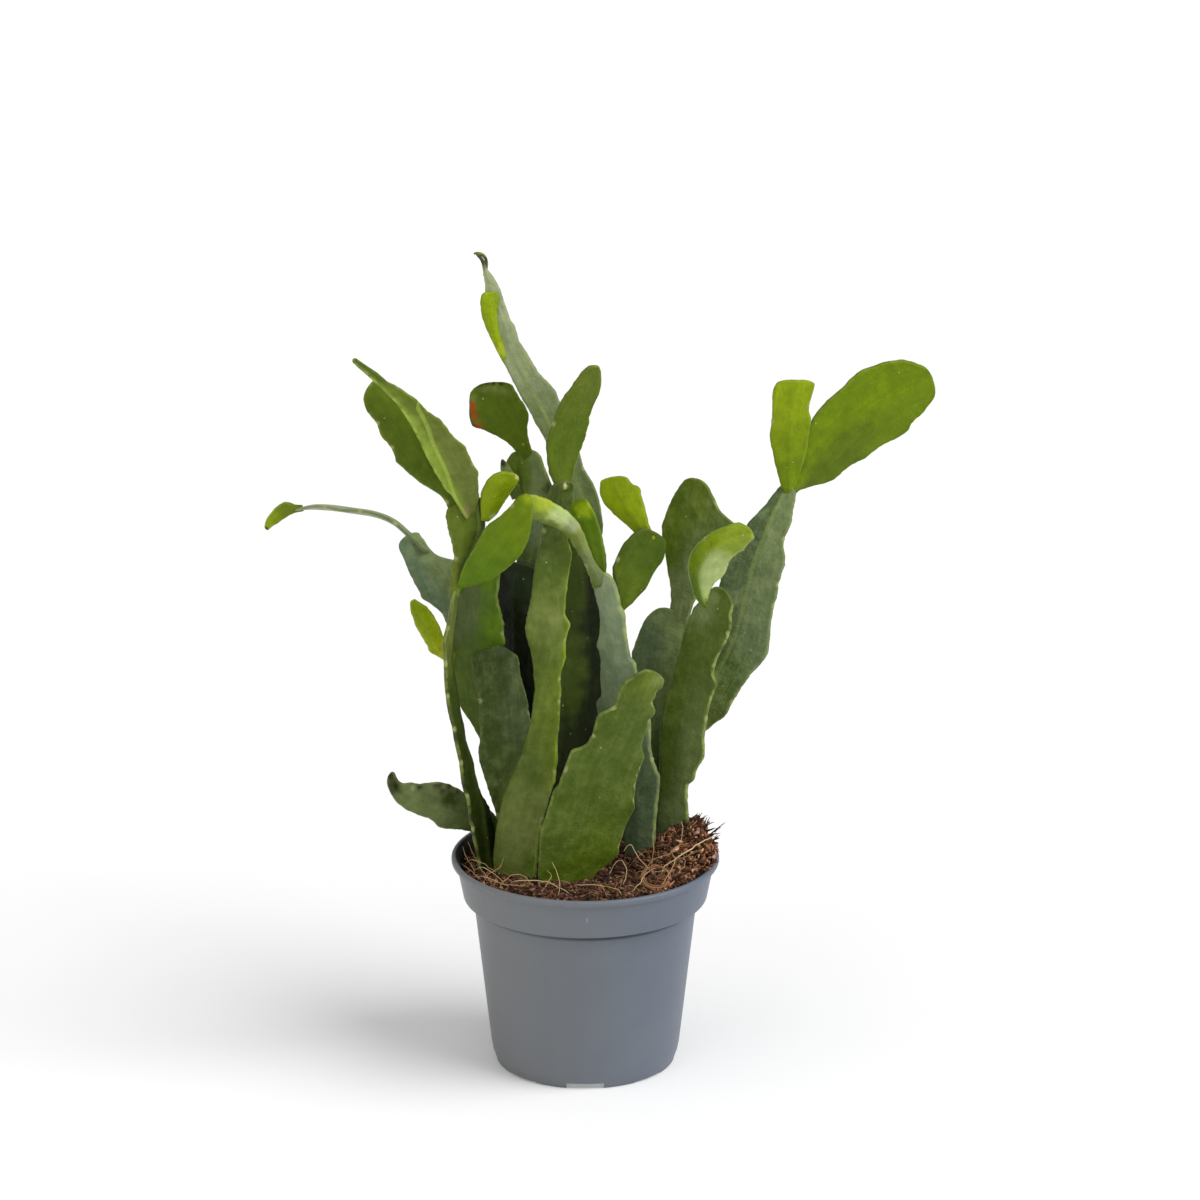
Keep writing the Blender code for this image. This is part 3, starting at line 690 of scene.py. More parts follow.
# Painted shade: a near-black green for the fronts of blades that lie in shade.
painted_shade_green = srgb(24, 31, 12)
moss = srgb(80, 98, 34)
olive = srgb(98, 114, 36)
slate = srgb(96, 114, 88)
frost = srgb(136, 152, 126)
sage = srgb(114, 128, 86)
ash = srgb(156, 166, 134)
dusk = srgb(52, 66, 48)
haze = srgb(110, 122, 64)
leaf = srgb(88, 108, 22)
grass = srgb(90, 122, 18)
lime = srgb(142, 163, 20)
vivid = srgb(112, 136, 12)
fern = srgb(74, 94, 24)
stone = srgb(82, 96, 64)
band = srgb(128, 148, 62)
sunny = srgb(176, 188, 46)
pale = srgb(180, 198, 142)
wool = srgb(214, 208, 178)
cork = srgb(140, 124, 92)
dry = srgb(58, 48, 38)
rust = srgb(158, 72, 28)


def eased(value):
    """The value held between 0 and 1, with a smooth start and end."""
    value = min(max(value, 0.0), 1.0)
    return value * value * (3.0 - 2.0 * value)


def blend(first, second, share):
    """This share of the way from the first colour to the second."""
    return tuple(a + (b - a) * share for a, b in zip(first, second))


def wave(x, y, z):
    """A smooth wandering value between -1 and 1."""
    return noise.noise(Vector((x, y, z)))


def scallop(turn):
    """How far out the edge is within one scallop, from 0 at the bud to 1 at the swell above it."""
    turn %= 1.0
    return 1.0 - (1.0 - turn / 0.76) ** 2 if turn < 0.76 else (1.0 - turn) / 0.24


def rounding(share):
    """How far a quarter circle has risen: 0 at 0, and 1 from 1 on."""
    return math.sqrt(max(0.0, 1.0 - (1.0 - min(share, 1.0)) ** 2))


def columns(reach):
    """Distances from a blade's ridge to its edge, closer together towards the edge."""
    squeeze = min(1.0, reach / 4.0)
    inner = reach - 1.8 * squeeze
    return [0.0, min(0.7, inner * 0.2), inner * 0.4, inner * 0.6, inner * 0.8, inner,
            reach - 0.8 * squeeze, reach - 0.25 * squeeze, reach]


def along_corners(corners, spot):
    """The half width there on an edge whose corners are (length along the blade, half width)."""
    before = corners[0]
    for corner in corners:
        if corner[0] >= spot:
            share = (spot - before[0]) / (corner[0] - before[0]) if corner[0] > before[0] else 0.0
            return before[1] + (corner[1] - before[1]) * share
        before = corner
    return before[1]


class Line:
    """A smooth line through path points, measured along its length. Where an edge wasn't measured, the
    points also have the half width there."""

    def __init__(self, path, steps=12):
        self.spots = flowing([spot[:3] for spot in path], steps)
        halves = [((*spot, 0.0)[3], 0.0, 0.0) for spot in path]
        self.widths = [half.x for half in flowing(halves, steps)]
        self.run = [0.0]
        for start, end in zip(self.spots, self.spots[1:]):
            self.run.append(self.run[-1] + (end - start).length)
        self.length = self.run[-1]

    def at(self, spot, values=None):
        """The point, or another of the line's values, this far along it."""
        values = values or self.spots
        for number in range(1, len(self.run)):
            if self.run[number] >= spot or number == len(self.run) - 1:
                share = (spot - self.run[number - 1]) / (self.run[number] - self.run[number - 1])
                return values[number - 1] + (values[number] - values[number - 1]) * share


class Shoot:
    """The blades of one shoot, gathered into one mesh with the values that its skin is painted from."""

    def __init__(self):
        self.points, self.faces, self.slots = [], [], []

    def face(self, corners, young):
        """Adds a face in the skin of a young or an old blade."""
        self.faces.append(tuple(corners))
        self.slots.append(1 if young else 0)

    def blade(self, number, path, right=(1, 0, 0), right_end=None, fold=0.0, tip=14.0, teeth=SCALLOP,
              young=False, left_edge=None, right_edge=None, ridge=None, tints=(moss, moss), left_tint=None,
              right_tint=None, rim_tint=None, rims=(0.25, 0.9), bloom=0.4, gloss=0.0, curl=1.0, flesh=1.0,
              back_tint=None, patches=()):
        """Adds one blade, which runs along its path from its foot to its end.

        right and right_end are where its right edge points at the foot and at the end. fold lifts both
        edges off the middle. An edge that was measured is a list of (along, half width) corners. Any other
        is scalloped, teeth deep, on the half widths in the path, and closes over the last tip millimetres.
        ridge is a list of (along, across) of a raised line that is painted pale as a painted highlight. tints
        are its colours at the foot and at the end, and the other tints those of its left and right parts, its
        right rim and its far side; the far side keeps a blade's own colour where its front is painted in
        shade.
        rims tells how pale each edge is: partly the skin's own pale margin and partly a painted highlight on
        edges that face the lamp. bloom tells how waxy, gloss how shiny, curl how wavy and flesh how thick the
        blade is. A young blade is thinner and has the young skin. Each patch is (along, across, reach,
        colour), measured from the end where along is negative.
        """
        line = Line(path)
        length = line.length
        bulge, rim = (YOUNG_THICKNESS, YOUNG_EDGE) if young else (OLD_THICKNESS, OLD_EDGE)
        pitch = length / max(2, round(length / AREOLE_PITCH))
        right, right_end = Vector(right), Vector(right_end or right)
        edges = {-1: left_edge, 1: right_edge}
        seed = number * 7.3

        def frame_at(spot):
            along = (line.at(min(spot + 1.0, length)) - line.at(max(spot - 1.0, 0.0))).normalized()
            across = right.lerp(right_end, spot / length)
            across = (across - along * across.dot(along)).normalized()
            return along, across, across.cross(along)

        def half_at(spot, side):
            left = length - spot
            ripple = 0.30 * wave(spot / 2.3, side * 3.0, seed) + 0.16 * wave(spot / 0.9, side * 3.0, seed)
            if edges[side]:
                reach = 0.7 + 1.1 * eased(1.0 - left / 9.0)
                half = sum(along_corners(edges[side], spot + reach * step) for step in CORNER_STEPS)
                half /= len(CORNER_STEPS)
                corner = min(2.0, 0.5 + 0.5 * half)
                half *= math.sqrt(1.0 - 0.94 * (1.0 - min(left / corner, 1.0)) ** 2)
                return max(half + ripple * min(1.0, half / 4.0), 0.3)
            half = line.at(spot, line.widths) * rounding(left / tip)
            turn = (spot + 1.6 * wave(spot / 21.0, side * 5.0, seed)) / pitch + (0.5 if side > 0 else 0.0)
            vary = 0.75 + 0.5 * wave(math.floor(turn) * 3.7, side, seed + 1.0)
            depth = min(teeth * vary, 0.3 * half) * eased(spot / 12.0) * eased(left / 12.0)
            return max(half - depth * (1.0 - scallop(turn)) + ripple * min(1.0, half / 4.0), 0.3)

        def buds_at(side):
            if edges[side]:
                trios = zip(edges[side], edges[side][1:], edges[side][2:])
                return [spot for before, (spot, half), after in trios
                        if 2.5 < half < min(before[1], after[1]) and 6.0 < spot < length - 4.0]
            turns = [turn + (0.5 if side > 0 else 0.0) for turn in range(-1, 40)]
            return [turn * pitch for turn in turns if 6.0 < turn * pitch < length - 5.0]

        buds = {side: buds_at(side) for side in (-1, 1)}

        def colour_at(spot, across, edge):
            share = spot / length + 0.14 * wave(spot / 18.0, across / 9.0, seed)
            tint = blend(tints[0], tints[1], eased(share))
            drift = across + 1.6 * wave(spot / 9.0, 4.0, seed)
            if right_tint:
                tint = blend(tint, right_tint, eased(0.5 + drift / 5.0))
            if left_tint:
                tint = blend(tint, left_tint, eased(0.5 - drift / 5.0))
            if rim_tint and across > 0:
                reach = 1.3 + 0.8 * wave(spot / 7.0, 8.0, seed)
                tint = blend(tint, rim_tint, 0.8 * eased(1.5 - edge / reach))
            for start, aside, reach, colour in patches:
                long_patch = reach > LONG_PATCH
                gap = (spot - (start if start >= 0 else length + start)) * (0.6 if long_patch else 1.0)
                gap = math.hypot(gap, across - aside)
                gap += 0.45 * reach * wave(spot / (1.6 + 0.3 * reach), across / (1.6 + 0.3 * reach), seed)
                tint = blend(tint, colour, eased(1.4 - gap / reach) * (0.85 if long_patch else 1.0))
            return tint if young else blend(tint, cork, 0.4 * eased(1.0 - spot / 1.8))

        def ring_at(spot):
            """The points round the blade there: its front from right to left, then its far side."""
            left = length - spot
            centre = line.at(spot)
            _, across, face = frame_at(spot)
            halves = {side: half_at(spot, side) for side in (-1, 1)}
            mean = (halves[1] + halves[-1]) / 2.0
            ridge_here = along_corners(ridge, spot) if ridge else None
            middle = 0.0 if fold else (halves[1] - halves[-1]) / 2.0
            if ridge and not fold and min(halves.values()) > 1.5:
                middle = min(max(ridge_here, 1.0 - halves[-1]), halves[1] - 1.0)
            sway = curl * 0.5 * wave(spot / 26.0, 1.0, seed) * eased(spot / 15.0)
            rib = rim + (bulge - rim) * eased(left / tip) * eased(0.6 + spot / 20.0)
            rib *= min(1.0, 0.35 + mean / 4.0)
            front, far_side = [], []
            for q in [-q for q in reversed(columns(halves[-1] + middle))][:-1] + columns(halves[1] - middle):
                side = 1 if q > 0 else -1
                reach = halves[side] - side * middle
                edge = reach - abs(q)
                share = abs(q) / reach
                aside = middle + q
                wander = wave(spot / 12.0, side * 4.0, seed) * share**2 * eased(spot / 14.0)
                lift = fold * abs(aside) + sway + curl * 1.2 * wander * min(1.0, reach / 6.0)
                lift += curl * 0.4 * wave(spot / 8.5, aside / 7.0, seed + 3.0) * min(1.0, mean / 6.0)
                thick = rim / 2.0 + (rib - rim) / 2.0 * (1.0 - share**1.5)
                crest = math.exp(-(q / 0.9) ** 2) * eased(left / tip) * min(1.0, mean / 5.0)
                thick += (0.6 if ridge else 0.25) * crest
                thick += 0.16 * math.exp(-((edge - 0.9) / 0.5) ** 2) * min(1.0, reach / 5.0)
                thick *= rounding(edge / (0.8 * min(1.0, reach / 4.0))) * rounding(left / 0.9)
                thick *= flesh * min(1.0, 0.5 + reach / 5.0)
                nearest = min([math.hypot(spot - bud, edge) for bud in buds[side]] or [FAR])
                paleness = eased(spot / 14.0) * eased(0.6 + wave(spot / 6.0, side * 9.0, seed))
                off_ridge = min(max(aside - ridge_here, -FAR), FAR) if ridge else FAR
                heart = centre + across * aside + face * lift
                lay = (aside, spot, seed * 10.0)
                tint = colour_at(spot, aside, min(edge, left))
                marks = (min(edge, left), min(nearest, FAR), rims[side > 0] * paleness)
                skin = (bloom, gloss, off_ridge)
                if edge < 0.001:
                    front.append((heart, lay, tint, marks, skin))
                else:
                    front.append((heart + face * thick, lay, tint, marks, skin))
                    far_side.append((heart - face * thick, lay, back_tint or tint, marks, skin))
            return front[::-1] + far_side

        first = len(self.points)
        rows = [ROW * step for step in range(int((length - 2.6) / ROW) + 1)]
        rows += [length - left for left in END_ROWS]
        for spot in rows:
            self.points += ring_at(spot)
        for low in range(first, len(self.points) - RING, RING):
            for corner in range(RING):
                ahead = (corner + 1) % RING
                self.face((low + corner, low + RING + corner, low + RING + ahead, low + ahead), young)
        self.face(range(first, first + RING), young)
        self.face(range(len(self.points) - 1, len(self.points) - RING - 1, -1), young)

        for side, spots in buds.items():
            for spot in spots:
                half = half_at(spot, side)
                if half < 2.0:
                    continue
                along, across, face = frame_at(spot)
                heart = line.at(spot) + across * side * (half - 0.15) + face * fold * half
                self.bud(heart, across * side, along, 0.36 + 0.2 * wave(spot, side, seed), young)

    def bud(self, spot, out, along, size, young):
        """A small tuft of wool in a notch."""
        ball = bmesh.new()
        bmesh.ops.create_icosphere(ball, subdivisions=1, radius=size)
        ball.verts.index_update()
        first = len(self.points)
        side = out.cross(along)
        for vert in ball.verts:
            x, y, z = vert.co
            self.points.append((spot + out * x * 0.8 + along * y * 1.3 + side * z, (FAR, FAR, FAR), pale,
                                (5.0, 0.0, 0.0), (0.0, 0.0, FAR)))
        for face in ball.faces:
            self.face([first + vert.index for vert in face.verts], young)
        ball.free()

    def mesh(self, name):
        """The shoot as one mesh that carries the values its skin reads."""
        spots, *layers = zip(*self.points)
        made = bpy.data.meshes.new(name)
        made.from_pydata([place(spot) for spot in spots], [], self.faces)
        for key, values in zip(("lay", "tint", "marks", "skin"), layers):
            kind, field = ("FLOAT_COLOR", "color") if key == "tint" else ("FLOAT_VECTOR", "vector")
            layer = made.attributes.new(key, kind, "POINT")
            layer.data.foreach_set(field, [value for entry in values for value in entry])
        made.materials.append(old_skin)
        made.materials.append(young_skin)
        made.polygons.foreach_set("material_index", self.slots)
        made.shade_smooth()
        return made


def cactus_skin(name, flesh, edge_tint, ridge_share, shine):
    """Waxy cactus skin. flesh is how much light passes into it, edge_tint the colour of pale edges and
    ridges, partly the skin's own and partly a painted highlight.
    """
    made, start, sockets = material(name, Subsurface_Weight=flesh, Subsurface_Radius=(0.6, 1.0, 0.1),
                                    Subsurface_Scale=0.002, Specular_IOR_Level=0.1, Coat_Roughness=0.2)
    spot = start.node("ShaderNodeTexCoord", output="Object")
    tint = start.attribute("tint", "Color")
    edge, bud, paleness = start.attribute("marks").split()
    bloom, gloss, off_ridge = start.attribute("skin").split()
    streaks = start.attribute("lay").stretched((0.5, 0.045, 1.0)).noise(1.0, 4.0, 0.6)
    mottle = spot.noise(150.0, 5.0, 0.65)
    patches = spot.noise(330.0, 4.0, 0.65)
    fine = spot.noise(1100.0, 3.0, 0.6)
    pores = spot.cells(620.0)
    specks = spot.cells(150.0).between(0.075, 0.04) * spot.noise(90.0, 2.0).between(0.47, 0.56)
    tint = (1.0 - bloom).mixed(tint, tint.dyed((0.86, 0.86, 0.6)))
    dark = mottle.between(0.56, 0.34) * 0.33 + streaks.between(0.56, 0.36) * 0.14
    dark = dark + patches.between(0.46, 0.3) * 0.1
    light = mottle.between(0.5, 0.68) * 0.46 + streaks.between(0.5, 0.66) * 0.22
    body = dark.mixed(light.mixed(tint, tint.dyed((1.3, 1.24, 1.3))), tint.dyed((0.52, 0.6, 0.46)))
    wax = mottle.between(0.44, 0.7) * 0.3 + patches.between(0.46, 0.7) * 0.2
    wax = bloom * (wax + streaks.between(0.5, 0.68) * 0.15)
    body = wax.mixed(body, srgb(140, 156, 104))
    body = (specks * 0.55).mixed(body, srgb(186, 196, 150))
    # Painted highlight: a pale line along a raised ridge.
    ridge = (off_ridge * off_ridge).between(1.3, 0.25) * fine.between(0.2, 0.5)
    body = (ridge * ridge_share).mixed(body, edge_tint)
    margin = edge.between(0.5, 0.05) * (1.0 - paleness)
    body = (margin * 0.4).mixed(body, srgb(88, 76, 62))
    # Pale rims: partly the skin's own pale margin and partly a painted highlight on edges that face the lamp.
    rim = edge.between(1.25, 0.35) * paleness * patches.between(0.3, 0.55)
    body = (rim * 0.7).mixed(body, edge_tint)
    body = (bud.between(1.8, 0.7) * 0.55).mixed(body, srgb(164, 164, 110))
    tuft = bud.between(0.05, 0.01)
    relief = fine * 0.4 + pores * 0.3 + streaks * 0.4 + mottle * 2.2 + patches * 0.9
    drive(start, sockets, Base_Color=tuft.mixed(body, tint), Coat_Weight=gloss,
          Roughness=shine + wax * 0.25 + (fine - 0.5) * 0.16 + tuft * 0.4, Normal=relief.bump(0.6, 0.0006))
    return made


old_skin = cactus_skin("old_cactus_skin", 0.08, srgb(150, 168, 84), 0.28, 0.42)
young_skin = cactus_skin("young_cactus_skin", 0.28, srgb(164, 184, 78), 0.45, 0.36)

SHOOTS = {
    # A blade seen nearly edge-on, with a short wide segment on it that carries four leaves.
    "shoot_left": ("dark_green", [
        dict(path=[(-43, -1, 81, 8), (-44, -1, 92, 9), (-51, -4, 134, 9), (-58, -8, 173, 8),
             (-59.8, -11, 199, 10), (-56.5, -14, 227, 7)], right=(0.4, 0.9, 0), right_end=(0.16, 0.95, 0),
             tip=10, teeth=1, right_edge=[(0, 8), (12, 9.5), (22, 12.6), (28, 13.6), (34, 13.2), (36, 10.6),
             (42, 7), (56, 5), (72, 3.4), (86, 4), (95, 6.4), (112, 8.2), (116, 7), (140, 6.5), (148, 4)],
             tints=(deep, shade), right_tint=shade, rims=(0.6, 0.2), bloom=0.05, flesh=0.7,
             patches=((138, -6, 18, haze),)),
        dict(path=[(-57, -14, 223), (-54, -15, 240), (-50, -17, 256), (-52, -20, 269)], right=(0.9, 0.4, 0),
             left_edge=[(0, 3), (12, 4), (18, 3.4), (24, 6.8), (30, 9.9), (36, 10.8), (44, 10.6),
             (47.4, 8)], right_edge=[(0, 3), (20, 7.5), (32, 7), (47.4, 7)], ridge=[(0, 0), (12, 1.4),
             (24, 2.6), (47, 4)], tints=(olive, olive), right_tint=shade, bloom=0.15,
             patches=((36, -4, 7, olive),)),
        dict(path=[(-55, -19, 263), (-64, -24, 283), (-73.5, -29, 302), (-86, -34, 320), (-92, -36, 326)],
             right=(0.82, 0.35, 0.42), tip=10, young=True, left_edge=[(0, 3.6), (8, 3.2), (12, 3.8),
             (22, 8.9), (30, 11.6), (38, 13.8), (42, 12.6), (46, 12.1), (54, 12.6), (60, 10.3), (66, 10.4),
             (72, 9.2), (75, 6.6), (76.6, 4)], right_edge=[(0, 3), (20, 8), (40, 11), (56, 8.5), (68, 6),
             (74.5, 4), (75.6, 2)], tints=(moss, olive), left_tint=leaf, bloom=0.05, curl=0.6),
        dict(path=[(-51, -19, 262), (-57, -27, 276), (-66, -36, 298), (-77.2, -42.5, 316.6),
             (-88.1, -47.4, 330.6), (-98.8, -50.8, 341)], right=(0.71, 0.5, 0.48), fold=0.5, tip=10,
             young=True, left_edge=[(0, 2.4), (16, 2.6), (22, 4.5), (32, 5.5), (41, 5.5), (49, 4.2),
             (56, 3.2), (62, 2.2), (70, 1.5), (80, 1.8), (86, 2.0), (94, 1.6), (98, 1.2)],
             right_edge=[(0, 3), (6, 6.7), (20, 11.6), (26, 11.1), (36, 11.3), (40, 9.6), (44, 8.9),
             (52, 8.6), (58, 6.6), (66, 5.9), (78, 3.3), (80, 2.2), (86, 2.1), (92, 1.5), (98, 1.2)],
             ridge=[(0, -2), (13, -2.2), (22, -1), (30, 0), (39, 0), (46, 0.8), (51, 2), (56, 3), (63, 4),
             (68, 9)], rims=(1.0, 0.4), tints=(haze, olive), left_tint=band, bloom=0.1,
             patches=((-1, 0, 1.6, dry), (4, -1, 2.4, cork), (92, 0, 8, moss))),
        dict(path=[(-57, -14, 224), (-47, -22, 242), (-36, -29, 259), (-24, -35, 276)],
             right=(0.83, 0, -0.55), young=True, left_edge=[(0, 1), (4, 1.2), (10, 2.5), (18, 3.8),
             (30, 4.8), (36, 5.8), (42, 5.5), (47, 4.2), (56, 3), (60, 3.4), (63, 2.6), (65.2, 0.8)],
             right_edge=[(0, 0.8), (5, 1.4), (8, 3.8), (12, 7), (16, 9.8), (20, 11), (25, 12.5), (32, 14),
             (38, 14), (46, 12.5), (52, 10), (58, 7), (63, 3.2), (65.2, 1)], tints=(grass, vivid),
             bloom=0.0, rims=(0.2, 0.3), patches=((63, 1, 2.6, lime),)),
        dict(path=[(-44, -18, 259), (-41, -20, 269), (-36, -22, 276), (-29, -24, 281)],
             right=(0.8, 0.2, -0.55), young=True, left_edge=[(0, 1.6), (2, 2), (7, 3.4), (11, 5), (13, 5.8),
             (18, 6.8), (20, 7.2), (24, 6), (27, 3.6), (28.4, 1.5)], right_edge=[(0, 2), (4, 5), (10, 6.2),
             (18, 6), (24, 4.2), (28.4, 1.2)], tints=(lime, lime), bloom=0.0, patches=((-0.5, 0, 0.9, wool),
             (3, 3, 1.8, pale))),
    ]),
    # A short leaf that leans out over the lip behind it, with a curled tip.
    "shoot_low_left": ("dark_green", [
        dict(path=[(-40, 24, 81), (-42, 24, 97), (-52, 21, 108), (-65, 19, 113), (-78, 20, 117.5),
             (-85, 21, 123), (-87, 22, 128)], right=(1, 0.2, 0), right_end=(0.2, 0.1, 1), tip=6,
             left_edge=[(0, 4), (16, 6), (25, 6.4), (32, 8.5), (41, 10), (44, 10), (46, 8.2), (48, 7.5),
             (60, 7), (64, 6.2), (67, 5.2), (70, 4), (72, 3), (74, 0.8)], right_edge=[(0, 4), (16, 6),
             (28, 7), (36, 8), (40, 9.5), (45, 10.5), (50, 10), (54, 8.2), (58, 6.4), (64, 4.9), (66, 2.4),
             (68, 1.4), (70, 1.6), (72, 1.4), (74, 0.7)], tints=(shade, sage), bloom=0.3,
             patches=((-2, 0, 3.6, dry), (-6, -2, 3.0, deep), (50, 8.6, 2.0, dry), (45, 9.6, 1.6, dry),
             (40, 8.8, 1.2, dry), (47, 6.5, 1.4, dry), (61, 3.6, 1.3, ash), (43, 4, 4, shade),
             (58, 5.2, 1.5, dry))),
    ]),
    # A blade whose top was cut off. Its left part and the top of its left side are painted darker as painted
    # shade.
    "shoot_cut_left": ("dark_green", [
        dict(path=[(-30, 4, 81), (-30, 4, 92), (-34, 5, 130), (-36, 6, 161), (-40, 6, 193)],
             right=(0.92, 0.38, 0), tip=7, left_edge=[(0, 6), (30, 8.5), (35, 8), (40, 8.8), (50, 11.2),
             (56, 12.5), (61, 13.5), (66, 13.8), (73, 12.2), (90, 11.5), (104, 12), (110, 11.6),
             (113.4, 10)], right_edge=[(0, 6), (30, 10), (60, 12.4), (74, 12.2), (79, 11.6), (84, 11.8),
             (88, 11), (95, 10), (101, 10), (106, 9.5), (108, 7.8), (111, 4.8), (112.6, 2.4)],
             tints=(moss, stone), left_tint=shade, rims=(0.3, 1.0), bloom=0.5, patches=((36, 4, 10, haze),
             (80, 5, 9, stone), (104, -5, 9, shade))),
    ]),
    # A blade with a grey-green segment at its left, on it a long arching one, and a small bright leaf.
    "shoot_back_left": ("dark_green", [
        dict(path=[(-33, 15, 81), (-33, 15, 91), (-35, 15, 122), (-42, 16, 155), (-47, 16, 180),
             (-48, 16, 202), (-44, 15, 224), (-41, 15, 238)], right=(0.9, -0.4, 0), left_edge=[(0, 5),
             (40, 6.5), (60, 7), (68, 8.5), (74, 10), (79, 12.5), (85, 14.6), (94, 14.2), (108, 14),
             (120, 13.4), (132, 12.6), (150, 10), (159, 5)], right_edge=[(0, 5), (60, 8), (90, 12),
             (106, 13), (110, 13.5), (114, 14.2), (118, 12.8), (123, 13.2), (130, 10.8), (136, 8),
             (150, 6.5), (159, 4)], tints=(deep, moss), right_tint=grass, rims=(0.2, 1.0), bloom=0.15,
             patches=((126, -7, 12, stone), (88, -4, 14, fern))),
        dict(path=[(-57, 23, 191), (-62, 21, 209), (-71.5, 22, 226), (-79, 24, 239)], right=(0.9, 0.3, 0.4),
             tip=10, left_edge=[(0, 2.6), (8, 3), (14, 3.6), (22, 7), (26, 9.1), (28, 8.4), (38, 7.8),
             (46, 6.6), (50, 6.4), (53, 5.2), (55, 3.6)], right_edge=[(0, 5), (10, 11), (20, 13.6),
             (32, 13), (36, 9.1), (40, 6.4), (44, 5.5), (50, 5.4), (55, 3.8)], tints=(stone, sage),
             left_tint=slate, rims=(0.1, 0.2), bloom=0.7),
        dict(path=[(-70.5, 20, 233, 3), (-87, 34, 243, 4.5), (-106, 45, 244, 5.5), (-121, 53, 243, 4),
             (-131, 57, 240, 3)], right=(0.1, 0.95, -0.3), teeth=0.6, young=True, rims=(0.0, 0.5),
             tints=(sage, ash), bloom=0.7, flesh=0.8),
        dict(path=[(-127, 55, 242), (-134, 58, 240), (-141, 60, 234.5), (-144, 61, 230)],
             right=(-0.5, 0.2, 0.85), young=True, left_edge=[(0, 1.4), (6, 2.3), (12, 2.7), (18, 2.3),
             (22, 0.9)], right_edge=[(0, 1.6), (4, 1.9), (6, 3.4), (8, 4.2), (16, 3.2), (20, 2),
             (22.4, 0.9)], tints=(olive, lime), bloom=0.0, patches=((-0.5, 0, 1.2, dry),)),
        dict(path=[(-56, 23, 180), (-63, 16, 189), (-69, 8, 201), (-76, 2, 216)], right=(0.85, 0.1, 0.45),
             young=True, left_edge=[(0, 2), (4, 4), (10, 4.7), (16, 6.2), (20, 5.4), (26, 5.2), (34, 5),
             (38, 4), (42, 3.6), (46.2, 1.6)], right_edge=[(0, 2), (18, 2.4), (24, 3.8), (30, 4.4),
             (36, 4.4), (40, 3.8), (44, 2), (46.2, 0.7)], tints=(sunny, lime), bloom=0.0, rims=(0.2, 0.2)),
    ]),
    # A long upright blade with a leaf at the top. The blade's left part and its top, under the arching leaf,
    # are painted darker as painted shade, and its right rim pale yellow-green as a painted highlight.
    "shoot_centre": ("fresh_green", [
        dict(path=[(-32, -12, 81), (-31, -12, 92), (-25, -12, 113), (-20, -11, 136), (-15, -9, 173),
             (-11, -7, 210), (-13, -5, 237), (-11, -4, 264), (-8, -4, 273)], right=(0.82, -0.57, 0),
             right_end=(0.8, 0.6, 0), tip=10, left_edge=[(0, 9), (8, 11), (16, 13.5), (24, 15), (34, 15.5),
             (44, 15.6), (56, 13), (66, 10.2), (76, 8.8), (84, 7.8), (98, 7.8), (104, 9), (112, 10.8),
             (118, 13), (124, 15.2), (127, 15.8), (136, 14.8), (144, 13), (151, 11.2), (158, 9.2),
             (166, 7.6), (172, 7.2), (180, 7.6), (186, 7.6), (192, 5.6), (196, 3)], right_edge=[(0, 9),
             (12, 11.2), (22, 8.5), (28, 6.2), (40, 5.2), (46, 5.8), (54, 6.2), (58, 7.2), (62, 6.4),
             (67, 6.5), (76, 5.2), (85, 5), (94, 4), (98, 4.2), (104, 2.8), (108, 3), (114, 4.2),
             (122, 3.2), (126, 4.2), (129, 5), (131, 3.4), (133, 2.2), (140, 3), (146, 4.8), (154, 7.2),
             (160, 8), (166, 6), (176, 5.8), (186, 7.5), (192, 6.8), (196, 4)], tints=(olive, olive),
             left_tint=moss, rim_tint=lime, rims=(0.2, 1.0), bloom=0.3, patches=((28, -4, 18, haze),
             (132, -6, 10, haze), (160, -1, 12, moss), (190, 0, 18, shade), (20, 8, 5, leaf),
             (90, 0, 12, olive))),
        dict(path=[(-10, -4, 268), (-9, -5, 288), (-5.5, -7, 303), (1, -8, 316), (4.5, -10, 327)],
             right=(0.8, 0.55, -0.2), young=True, left_edge=[(0, 2.6), (3, 3.8), (8, 6.6), (14, 8.5),
             (21, 9.8), (32, 9.2), (38, 9.5), (44, 9.5), (53, 8.2), (58, 6.2), (61, 4.2), (62.4, 3)],
             right_edge=[(0, 3), (5, 5), (11, 6.2), (18, 8.5), (24, 10), (33, 9.8), (36, 9.2), (42, 8.2),
             (48, 7.5), (52, 6.8), (56, 5.6), (60, 3.8), (62.4, 1.4)], tints=(leaf, leaf), rims=(0.1, 0.6),
             bloom=0.03, patches=((3, 1, 1.3, wool), (50, 0, 9, olive))),
    ]),
    # A blade, a stalk on it, and a cupped leaf. The blade's front is painted in shade, a near-black green,
    # and its far side keeps its own green.
    "shoot_back_centre": ("dark_green", [
        dict(path=[(-25, 23, 81, 5), (-26, 23, 91, 7), (-28, 25, 134, 11), (-29, 27, 185, 13),
             (-28, 30, 224, 12)], right=(0.82, -0.57, 0), tip=8, teeth=1, tints=(painted_shade_green, painted_shade_green),
             back_tint=shade, left_edge=[(0, 6), (40, 13), (70, 15), (120, 17), (136, 16), (144, 12)],
             rims=(0.0, 0.0), bloom=0.05, patches=((136, 2, 9, dusk),)),
        dict(path=[(-28, 30, 213), (-25, 34, 231), (-24, 39, 253), (-25, 43, 273)], right=(0.9, -0.4, 0),
             tip=10, left_edge=[(0, 4), (20, 6), (34, 6), (38, 7.5), (44, 7.5), (47, 6.2), (49, 9),
             (52, 11.3), (56, 11.6), (59, 10), (61.6, 7)], right_edge=[(0, 4), (20, 8), (34, 11.2),
             (42, 12), (46, 9.8), (50, 8.5), (54, 6.8), (59, 5.6), (61.6, 3)], tints=(slate, olive),
             left_tint=leaf, right_tint=sage, bloom=0.3, patches=((6, 0, 10, shade), (44, 10, 4, shade),
             (30, 2, 7, slate))),
